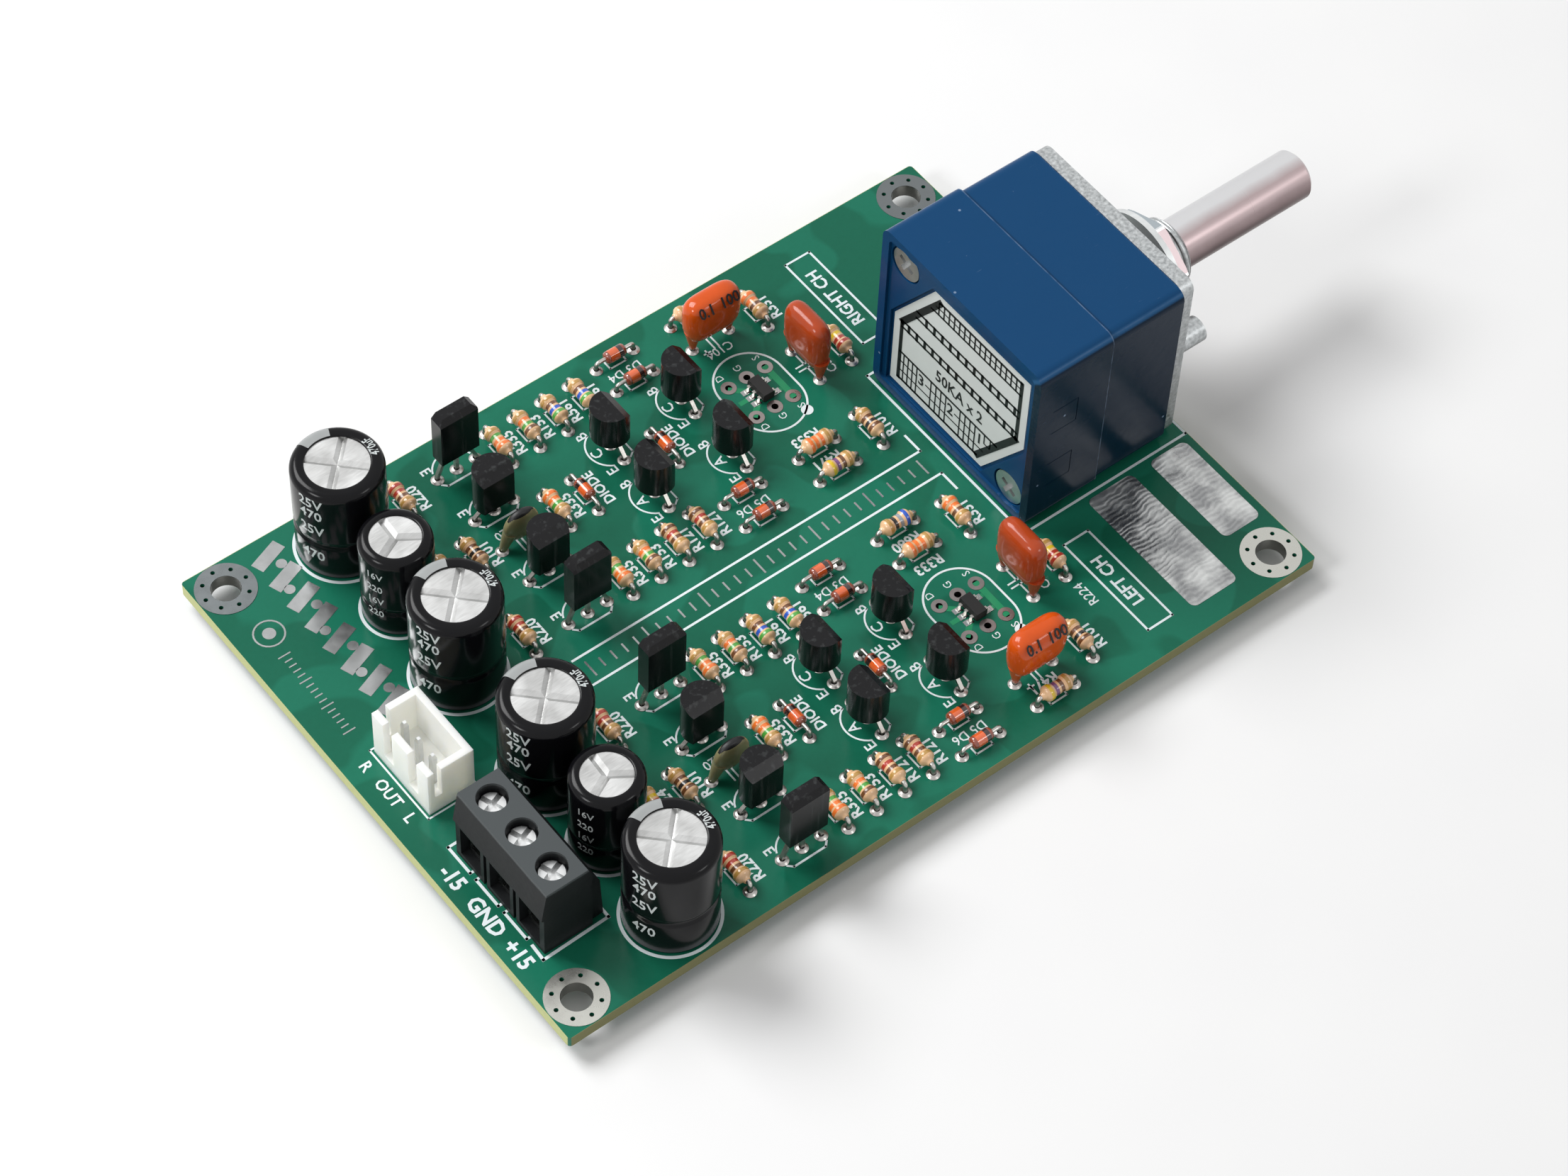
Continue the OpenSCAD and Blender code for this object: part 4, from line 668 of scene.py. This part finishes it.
def writeLetters():
    look = {"beside": 1.95, "value": (1.35, 0.045), "diode": (1.25, 0.04), "leg": (1.35, 0.02),
            "pin": (0.95, 0.0), "feet": ("BCE", "BAE", "BCE", "BAE"), "R224": {"right": 6.2, "left": -4.8}}
    bm = bmesh.new()
    for side, middle in channels.items():
        for x, y, kind in resistors["upright"] + resistors["input"][side]:
            outline(bm, x, middle + y, 0.6, 1.1)
            if x < 26:  # the last one has its value further off
                words = "R" + kind.replace("533", "335")  # the same value, soldered the other way round
                write(bm, words, x + look["beside"], middle + y - 0.25, 90, *look["value"])
        write(bm, "R224", 26.9, middle + look["R224"][side])
        for x, y, kind, above in resistors["lying"][side]:
            outline(bm, x, middle + y, 1.1, 0.6)
            write(bm, "R" + kind, x, middle + y + above, 180, *look["value"])
        for x, y in spots["signalDiodes"]:
            write(bm, "DIODE", x + look["beside"], middle + y, 90, *look["diode"])
        write(bm, "D3 D4", 5.4, middle + 12.1, 180)
        write(bm, "D5 D6", 5.4, middle - 11.2, 180)
        for x, y in spots["power"]:
            write(bm, "E", x - 3, middle + y + 1.7, -90, 1.25, 0.03)
        for (x, y), letters in zip(spots["small"], look["feet"]):
            for letter, shift in zip(letters, (2.8, -0.1, -3.0)):
                write(bm, letter, x - 1.8, middle + y + shift, 90, *look["leg"])
        for x, letter in ((13.16, "D"), (15.7, "G"), (18.24, "S")):
            write(bm, letter, x, middle + 5.0, 90, *look["pin"])
            write(bm, letter, x, middle - 3.3, 90, *look["pin"])
        write(bm, "C33", 24.2, middle - 0.4)
        write(bm, "220", -18.4, middle + 1.9, 180)
    write(bm, "C104", 15.7, 26.3, 180)
    for y, words in ((24.6, "RIGHT CH"), (-24.4, "LEFT CH")):
        write(bm, words, 30.8, y, 90, 1.55, 0.05)
    for y, words in ((3.9, "R"), (-0.2, "OUT"), (-4.0, "L")):
        write(bm, words, -47.6, y, -90, 1.4, 0.03)
    for y, words in ((-12.6, "-15"), (-18.4, "GND"), (-24, "+15")):
        write(bm, words, -48.3, y, -90, 1.8, 0.08)
    return bm


makePiece("boardLines", drawLines(), [finishes["ink"]])
makePiece("boardLetters", writeLetters(), [finishes["ink"]])
print("board printed")


# Bare tinned marks in place of print, and the masked copper round the input transistors
def tinnedMarks():
    look = {"x": -40.5, "first": 32.4, "step": 3.35, "count": 8, "slash": [(-1.2, -0.45), (1.2, 0.45)],
            "bar": 1.6, "dot": 0.62, "shift": (0.6, -0.6), "spot": (-46.1, 23.9), "spotRadius": 0.75,
            "tickStart": -21.5, "tickStep": 1.5, "tickCount": 31,
            "ruleX": -46.4, "ruleStart": 20.6, "ruleStep": 0.8, "ruleCount": 16}
    bm = bmesh.new()
    for i in range(look["count"]):  # slanted bars and dots along the left edge
        x, y = look["x"], look["first"] - i * look["step"]
        strokes(bm, look["slash"], look["bar"], x, y)
        if i < look["count"] - 1:
            disc(bm, look["dot"], x + look["shift"][i % 2], y - 1.65)
    disc(bm, look["spotRadius"], *look["spot"])
    arc(bm, *look["spot"], 1.7, 0, 360, 0.2)
    for i in range(look["ruleCount"]):
        x, y = look["ruleX"], look["ruleStart"] - i * look["ruleStep"]
        reach = 0.7 if i % 5 == 0 else 0.4
        stroke(bm, (x - reach, y), (x + reach, y), 0.16)
    for i in range(look["tickCount"]):
        x = look["tickStart"] + i * look["tickStep"]
        reach = 1.0 if i % 5 == 0 else 0.55
        stroke(bm, (x, -reach), (x, reach), 0.22)
    return bm


def maskedTraces():
    look = {"bar": 18.3, "fan": (13.2, 14.6)}
    bm = bmesh.new()
    for middle in channels.values():
        y = middle + 0.8
        stroke(bm, (look["bar"], y - 2.4), (look["bar"], y + 2.4), 0.8)
        for s in (-1, 1):
            stroke(bm, (look["bar"] - 0.66, y + s * 0.95), (look["bar"] - 1.6, y + s * 0.95), 0.5)
            stroke(bm, (look["fan"][0], y + s * 2.2), (look["fan"][1], y + s * 0.95), 0.7)
        stroke(bm, (look["fan"][0] - 0.2, y), (look["fan"][1], y), 0.6)
    bmesh.ops.scale(bm, vec=(1, 1, 0.5), verts=bm.verts, space=Matrix.Translation((0, 0, -board["top"])))
    return bm


makePiece("tinnedMarks", tinnedMarks(), [finishes["mark"]])
makePiece("maskedTraces", maskedTraces(), [finishes["trace"]])


# Resistors: lacquered bodies with colour bands
bandColors = {"tan": (0.84, 0.52, 0.28), "black": (0.025, 0.02, 0.018), "brown": (0.16, 0.06, 0.02),
              "red": (0.45, 0.04, 0.02), "orange": (0.95, 0.2, 0.03), "yellow": (0.8, 0.55, 0.02),
              "green": (0.08, 0.36, 0.05), "blue": (0.02, 0.1, 0.55), "violet": (0.2, 0.08, 0.22),
              "grey": (0.3, 0.33, 0.38), "gold": (0.5, 0.28, 0.07)}
lacquers = [plasticFinish(name + "Lacquer", color, 0.22, 0.5, 1.6, 0.15, 0.12)
            for name, color in bandColors.items()]


def resistorMesh(kind):
    look = {"centres": (-1.08, -0.36, 0.36, 1.08), "half": 0.22,
            "profile": [(0.775, 0), (0.775, 0.14), (0.775, 0.36), (0.782, 0.58), (0.82, 0.68), (0.88, 0.78),
                        (0.93, 0.86), (0.95, 1.08), (0.95, 1.3), (0.915, 1.45), (0.82, 1.6), (0.66, 1.72),
                        (0.52, 1.82), (0.44, 1.95), (0.38, 2.1), (0, 2.1)]}
    colors = resistors["bands"][kind].split()

    def indexAt(along):
        for centre, color in zip(look["centres"], colors):
            if abs(along - centre) < look["half"]:
                return list(bandColors).index(color)
        return 0

    half = look["profile"]
    profile = [(radius, -along) for radius, along in reversed(half[1:])] + half
    return latheMesh(profile, indexAt)


def makeResistors():
    bm = bmesh.new()
    meshes = {kind: resistorMesh(kind) for kind in resistors["bands"]}
    z = board["top"] + resistors["height"]
    for side, middle in channels.items():
        for x, y, kind in resistors["upright"] + resistors["input"][side]:
            addCopy(bm, meshes[kind], standing(x, middle + y, z))
        for x, y, kind, above in resistors["lying"][side]:
            addCopy(bm, meshes[kind], standing(x, middle + y, z, -90))
    return bm


resistorPiece = makePiece("resistorBodies", makeResistors(), lacquers, limit=50)
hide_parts("resistor_bodies")
print("resistors banded")


# Diodes: glass with a glowing orange core and a dark band
def diodeMesh():
    half = [(0.75, 0.3), (0.75, 0.62), (0.75, 0.85), (0.73, 1.05), (0.66, 1.2), (0.52, 1.3), (0.3, 1.35),
            (0, 1.35)]
    profile = [(radius, -along) for radius, along in reversed(half)] + half

    def indexAt(along):
        if 0.3 < along < 0.85:
            return 1
        return 2 if abs(along) > 0.85 else 0

    return latheMesh(profile, indexAt)


glass = [plasticFinish("glassCore", (0.75, 0.12, 0.02), 0.08, 1.0, 1.5, 0.2, 0.3),
         plasticFinish("cathodeBand", (0.03, 0.012, 0.01), 0.12, 0.8),
         plasticFinish("glassEnd", (0.28, 0.05, 0.02), 0.08, 1.0, 2, 0.2, 0.4)]
diodeLevel = board["top"] + 1.2
signalPiece = makePiece("signalDiodes", copies(diodeMesh(), inChannels("signalDiodes"), diodeLevel), glass)
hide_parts("signal_diode_bodies")
biasPiece = makePiece("biasDiodes", copies(diodeMesh(), inChannels("biasDiodes"), diodeLevel, -90), glass)
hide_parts("bias_diode_bodies")


# Dipped capacitors: a pillow with resin running down to the leads
dipped = {"input": (7.2, 3.4, 1.7, 8.2, 0.12), "filter": (6.6, 2.9, 1.6, 9.0, 0.14),
          "square": 0.46, "side": 0.85, "leadX": 2.47, "legLevel": 2.05, "leg": (0.36, 1.05, 2.9)}


def dippedMesh(width, thick, low, high, pinch):
    bm = bmesh.new()
    bmesh.ops.create_uvsphere(bm, u_segments=48, v_segments=32, radius=1)
    for vert in bm.verts:
        x, y, z = vert.co
        x = math.copysign(abs(x) ** dipped["square"], x)
        z = math.copysign(abs(z) ** dipped["square"], z)
        x *= 1 - pinch * max(0, -z) ** 1.5
        y = math.copysign(abs(y) ** dipped["side"], y) * (1 - 0.35 * max(0, -z) ** 2)
        vert.co = (x * width / 2, y * thick / 2, (low + high) / 2 + z * (high - low) / 2)
    for s in (-1, 1):
        cone(bm, *dipped["leg"], Matrix.Translation((s * dipped["leadX"], 0, dipped["legLevel"])))
    return toMesh(bm)


inputMesh = dippedMesh(*dipped["input"])
inputPiece = makePiece("inputCapacitors", copies(inputMesh, inputSpots), [finishes["orange"]],
                       limit=60)
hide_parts("input_capacitors")
filterMesh = dippedMesh(*dipped["filter"])
filterPiece = makePiece("filterCapacitors", copies(filterMesh, inChannels("filter"), turn=90),
                        [finishes["brown"]], limit=60)
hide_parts("filter_capacitors")


def ceramicMesh():
    look = {"radius": 2.2, "thick": 0.78, "height": 3.1, "tip": 1.25, "tipHalf": 0.55, "tipLong": 1.8,
            "resin": (0.44, 0.8, 2.35)}
    bm = bmesh.new()
    bmesh.ops.create_uvsphere(bm, u_segments=48, v_segments=40, radius=1)
    for vert in bm.verts:
        x, y, z = vert.co
        vert.co = (x * look["radius"], math.copysign(abs(y) ** 0.7, y) * look["thick"],
                   look["height"] + z * look["radius"])
    for face in bm.faces:  # a black lens on the crown
        middle = face.calc_center_median()
        reach = look["tipHalf"] * (1 - (middle.x / look["tipLong"]) ** 2)
        face.material_index = 1 if middle.z > look["height"] + look["tip"] and abs(middle.y) < reach else 0
    for s in (-1, 1):  # resin runs down over the leads
        leg = Matrix.Translation((s * 1.97, 0, 1.43)) @ Matrix.Rotation(-s * 0.416, 4, "Y")
        cone(bm, *look["resin"], leg)
    return toMesh(bm)


ceramicPiece = makePiece("ceramicCapacitors", copies(ceramicMesh(), inChannels("ceramic")),
                         [finishes["olive"], finishes["blackInk"]], limit=60)
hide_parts("ceramic_capacitors")
print("capacitors dipped")


# Shrunk sleeves with a rolled-in groove, their print and negative stripes
cans = {"large": {"radius": 5.1, "top": 15.8, "rim": 0.9, "groove": 7.4},
        "small": {"radius": 4.05, "top": 14.1, "rim": 0.9, "groove": 5.8},
        "foot": 1.9, "mouth": 0.69, "wall": 0.19, "depth": 0.165, "half": 0.75, "lift": 0.02}


def sleeveMesh(can):
    r, top, rim, middle = can["radius"], can["top"], can["rim"], can["groove"]
    foot, wall, depth, half = cans["foot"], cans["wall"], cans["depth"], cans["half"]
    outer = [(r * 0.82, foot), (r - 0.3, foot), (r - 0.09, foot + 0.09), (r, foot + 0.35)]
    for i in range(9):
        height = -half + i * half / 4
        outer.append((r - depth * (1 + math.cos(height * math.pi / half)) / 2, middle + height))
    for i in range(9):
        turn = math.pi / 2 * i / 8
        outer.append((r - rim + rim * math.cos(turn), top - rim + rim * math.sin(turn)))
    lip = r * cans["mouth"]
    outer += [(lip + 0.2, top), (lip + 0.06, top - 0.03), (lip, top - 0.1)]
    inner = [(lip, top - wall + 0.01), (r - rim, top - wall), (r - wall, top - rim), (r - wall, foot + wall),
             (r * 0.82, foot + wall)]
    mesh = latheMesh(outer + inner + outer[:1], steps=64)
    mesh.transform(Matrix.Rotation(math.pi / 2, 4, "X"))
    return mesh


largePiece = makePiece("reservoirSleeves", copies(sleeveMesh(cans["large"]), inChannels("reservoirs"), 0),
                       [finishes["sleeve"]], limit=50)
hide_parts("reservoir_sleeves")
smallPiece = makePiece("couplingSleeves", copies(sleeveMesh(cans["small"]), inChannels("coupling"), 0),
                       [finishes["sleeve"]], limit=50)
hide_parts("coupling_sleeves")


def onSleeve(can, angle, along, lift):  # along runs up the wall, over the rim and inwards
    straight = can["top"] - can["rim"]
    turn = min(max(0, along - straight) / can["rim"], math.pi / 2)
    inward = max(0, along - straight - can["rim"] * math.pi / 2)
    radius = can["radius"] - can["rim"] + (can["rim"] + lift) * math.cos(turn) - inward
    height = min(along, straight) + (can["rim"] + lift) * math.sin(turn)
    return Vector((radius * math.cos(angle), radius * math.sin(angle), height))


def wrapWords(bm, words, can, x, y, angle, along, height, bold=0.01):
    mesh = letterMesh(words, height, bold, 0.9, 0.02)
    for vert in mesh.vertices:
        u, v, w = vert.co
        vert.co = Vector((x, y, 0)) + onSleeve(can, math.radians(angle) + u / can["radius"], along + v,
                                               cans["lift"] + w)
    bm.from_mesh(mesh)


def sleevePrint():
    look = {"angle": 200, "large": (("25V", 14.2), ("470", 12.3), ("25V", 9.7), ("470", 5.4)),
            "small": (("16V", 11.6), ("220", 9.5), ("16V", 7.4), ("220", 5.3))}
    bm = bmesh.new()
    for middle in channels.values():
        for x, y in spots["reservoirs"]:
            place = cans["large"], x, middle + y
            for words, along in look["large"]:
                wrapWords(bm, words, *place, look["angle"], along, 1.5, 0.03)
            wrapWords(bm, "470uF", *place, -6, 16.35, 1.0, 0.02)
            wrapWords(bm, "25V", *place, 330, 9.5, 1.6)
        for x, y in spots["coupling"]:
            for words, along in look["small"]:
                wrapWords(bm, words, cans["small"], x, middle + y, look["angle"], along, 1.05)
    return bm


def negativeStripes():
    look = {"middle": 90, "half": 23, "low": 8.6, "steps": 10}
    can = cans["large"]
    rise = [look["low"], 10, 12, 14.9, 15.1, 15.3, 15.5, 15.7, 15.9, 16.1, 16.31, 16.6, 16.95]
    bm = bmesh.new()
    start = math.radians(look["middle"] - look["half"])
    points = [bm.verts.new(onSleeve(can, start, along, 0.015)) for along in rise]
    edges = [bm.edges.new(pair) for pair in zip(points, points[1:])]
    bmesh.ops.spin(bm, geom=points + edges, cent=(0, 0, 0), axis=(0, 0, 1),
                   angle=math.radians(2 * look["half"]), steps=look["steps"])
    bmesh.ops.recalc_face_normals(bm, faces=bm.faces)
    bmesh.ops.solidify(bm, geom=bm.faces[:], thickness=-0.012)
    return copies(toMesh(bm), inChannels("reservoirs"), 0)


makePiece("negativeStripes", negativeStripes(), [finishes["greyInk"]], limit=60)
makePiece("sleevePrint", sleevePrint(), [finishes["paleInk"]])


# Plain print on the dipped capacitors and on the control's label
def facing(x, y, z, right, up):  # letters on a wall, from their right and up
    right, up = Vector(right), Vector(up)
    rotation = Matrix((right, up, right.cross(up))).transposed().to_4x4()
    return Matrix.Translation((x, y, z)) @ rotation


def dippedPrint():
    look = {"words": (("0.1", -1.7), ("100", 1.4)), "front": -1.5, "level": 9.1, "letters": (1.35, 0.035)}
    bm = bmesh.new()
    for x, y in inputSpots:
        for words, shift in look["words"]:
            place = facing(x + shift, y + look["front"], look["level"], (1, 0, 0), (0, 0.6, 0.8))
            addCopy(bm, letterMesh(words, *look["letters"]), place)
    return bm


label = {"halfU": 9.7, "halfV": 9.0, "cutU": 5.8, "cutV": 8.6, "side": 0.55, "thin": 0.34, "thick": 0.85,
         "line": 0.15, "ladderPitch": 1.35, "rung": 0.42, "rail": 0.3,
         "topLow": 7.0, "topRows": 2, "topCell": 0.86, "topColumns": 16,
         "lowHigh": -4.6, "lowRows": 3, "lowCell": 0.85, "ticks": (4.9, 5.9), "tickLong": 1.3,
         "digits": (-5.9, -0.9, 4.1), "digitHalf": 0.8, "digitV": -6.1}


def slantAt(v):  # the slanted right edge at the height v
    return label["halfU"] - label["cutU"] + (v + label["halfV"]) * label["cutU"] / label["cutV"]


def labelFrame(bm):
    u, v = label["halfU"], label["halfV"]
    cutU, cutV = label["cutU"], label["cutV"]
    for s in (-1, 1):
        stroke(bm, (s * u, s * v), (s * u, s * (cutV - v)), label["side"], 0)
        stroke(bm, (s * u, s * (cutV - v)), (s * (u - cutU), -s * v), label["thick"], 0)
        stroke(bm, (s * (u - cutU), -s * v), (-s * u, -s * v), label["thin"], 0)


def topGrid(bm):
    low, line = label["topLow"], label["line"]
    step = (label["halfV"] - low) / label["topRows"]
    for row in range(label["topRows"]):
        level = low + row * step
        stroke(bm, (-slantAt(-level), level), (label["halfU"], level), line * (1 if row else 1.8), 0)
    for column in range(label["topColumns"]):
        u = label["halfU"] - label["topCell"] * (column + 1)
        stroke(bm, (u, low), (u, label["halfV"]), line * 1.4, 0)


def bottomGrid(bm):
    high, line = label["lowHigh"], label["line"]
    step = (high + label["halfV"]) / label["lowRows"]
    edges = [-label["halfU"]] + [u + s * label["digitHalf"] for u in label["digits"] for s in (-1, 1)]
    for row in range(label["lowRows"] + 1):
        level = high - row * step
        stops = edges if row == 1 else edges[:1]  # the digits stand in cells two rows high
        stops = stops + [slantAt(level)]
        for start, end in zip(stops[::2], stops[1::2]):
            stroke(bm, (start, level), (end, level), line * (2 if row == 0 else 1.1), 0)
    for start, end in zip(edges[::2], edges[1::2]):
        count = round((end - start) / label["lowCell"])
        for i in range(1, count + 1):
            u = start + (end - start) * i / count
            stroke(bm, (u, high), (u, -label["halfV"]), line * 1.2, 0)
    for u in label["ticks"]:
        stroke(bm, (u, high), (u, high - label["tickLong"]), line * 1.2, 0)


def ladder(bm, low, high, start):
    end = label["halfU"]
    for level in (low, high):
        stroke(bm, (start, level), (end, level), label["rail"], 0)
    for i in range(int((end - start) / label["ladderPitch"])):
        u = end - (i + 0.5) * label["ladderPitch"]
        stroke(bm, (u, low), (u, high), label["rung"], 0)


def labelPrint():
    bm = bmesh.new()
    labelFrame(bm)
    topGrid(bm)
    bottomGrid(bm)
    ladder(bm, 3.2, 4.25, -slantAt(-3.7))
    ladder(bm, -0.4, 0.6, -label["halfU"])
    for u, words in zip(label["digits"], "321"):
        addCopy(bm, letterMesh(words, 1.7, 0.03), standing(u, label["digitV"], 0))
    addCopy(bm, letterMesh("50KA x 2", 1.75, 0.03, 0.86), standing(0.3, -2.75, 0))
    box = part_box("rating_label")
    middle = (box[0] + box[1]) / 2 / mm
    place = facing(box[0].x / mm, middle.y, middle.z, (0, -1, 0), (0, 0, 1))
    bmesh.ops.transform(bm, matrix=place, verts=bm.verts)
    return bm


makePiece("dippedPrint", dippedPrint(), [finishes["blackInk"]])
makePiece("labelPrint", labelPrint(), [finishes["blackInk"]])
print("print applied")


# Studio: pale floor, soft lamps, white surroundings
studio = {"floorSize": 3.0, "ambient": 0.3,
          "lamps": {"keyLamp": ((-0.2, 0.5, 0.62), 6.0, 0.42), "fillLamp": ((0.34, -0.66, 0.56), 0.9, 0.22),
                    "rimLamp": ((-0.6, 0.05, 0.5), 1.6, 0.2)}}  # place, power, size


def makeFloor():
    bm = bmesh.new()
    bmesh.ops.create_grid(bm, x_segments=1, y_segments=1, size=studio["floorSize"] / 2,
                          matrix=Matrix.Translation((0, 0, cadBox[0].z - 0.00002)))
    mesh = toMesh(bm)
    floor = bpy.data.objects.new("floor", mesh)
    finish = Finish("paleFloor", (0.86, 0.86, 0.86), 0.65)
    finish.set("Base Color", finish.mix(finish.noise(0.05, 2), (0.84, 0.84, 0.845), (0.88, 0.88, 0.875)))
    mesh.materials.append(finish.material)
    scene.collection.objects.link(floor)


def makeLamp(name, place, power, size):
    lamp = bpy.data.lights.new(name, "AREA")
    lamp.energy = power
    lamp.size = size
    holder = bpy.data.objects.new(name, lamp)
    holder.location = place
    holder.rotation_euler = (-Vector(place)).to_track_quat("-Z", "Y").to_euler()
    scene.collection.objects.link(holder)


def makeWorld():  # white where it is seen, dimmer where it lights
    world = bpy.data.worlds.new("studio")
    world.use_nodes = True
    scene.world = world
    surround = NodeTree(world.node_tree)
    background = world.node_tree.nodes["Background"]
    background.inputs["Color"].default_value = (1, 1, 1, 1)
    direct, glossy, through = [surround.node("ShaderNodeLightPath", {}, {}, "Is " + ray + " Ray")
                               for ray in ("Camera", "Glossy", "Transmission")]
    seen = direct.either(glossy).either(through)
    strength = surround.node("ShaderNodeMapRange", {}, {"Value": seen, "To Min": studio["ambient"]})
    surround.feed(background.inputs["Strength"], strength)


makeFloor()
makeWorld()
for name, (place, power, size) in studio["lamps"].items():
    makeLamp(name, place, power, size)


# Camera, fitted to the photograph's frame of 2212 by 1659
cameraSpec = {"place": (-0.18115, -0.21902, 0.3882), "azimuth": 40.30, "elevation": 53.88, "roll": 3.0,
              "lens": 102.69}


def makeCamera():
    azimuth = math.radians(cameraSpec["azimuth"])
    elevation = math.radians(cameraSpec["elevation"])
    forward = Vector((math.cos(elevation) * math.sin(azimuth), math.cos(elevation) * math.cos(azimuth),
                      -math.sin(elevation)))
    camera = bpy.data.cameras.new("camera")
    camera.lens = cameraSpec["lens"]
    camera.sensor_width = 36
    camera.clip_start = 0.01
    camera.clip_end = 10
    holder = bpy.data.objects.new("camera", camera)
    level = forward.to_track_quat("-Z", "Y").to_matrix()
    holder.rotation_euler = (level @ Matrix.Rotation(math.radians(cameraSpec["roll"]), 3, "Z")).to_euler()
    holder.location = cameraSpec["place"]
    scene.collection.objects.link(holder)
    scene.camera = holder


makeCamera()
scene.view_settings.view_transform = "Standard"
print("studio set")
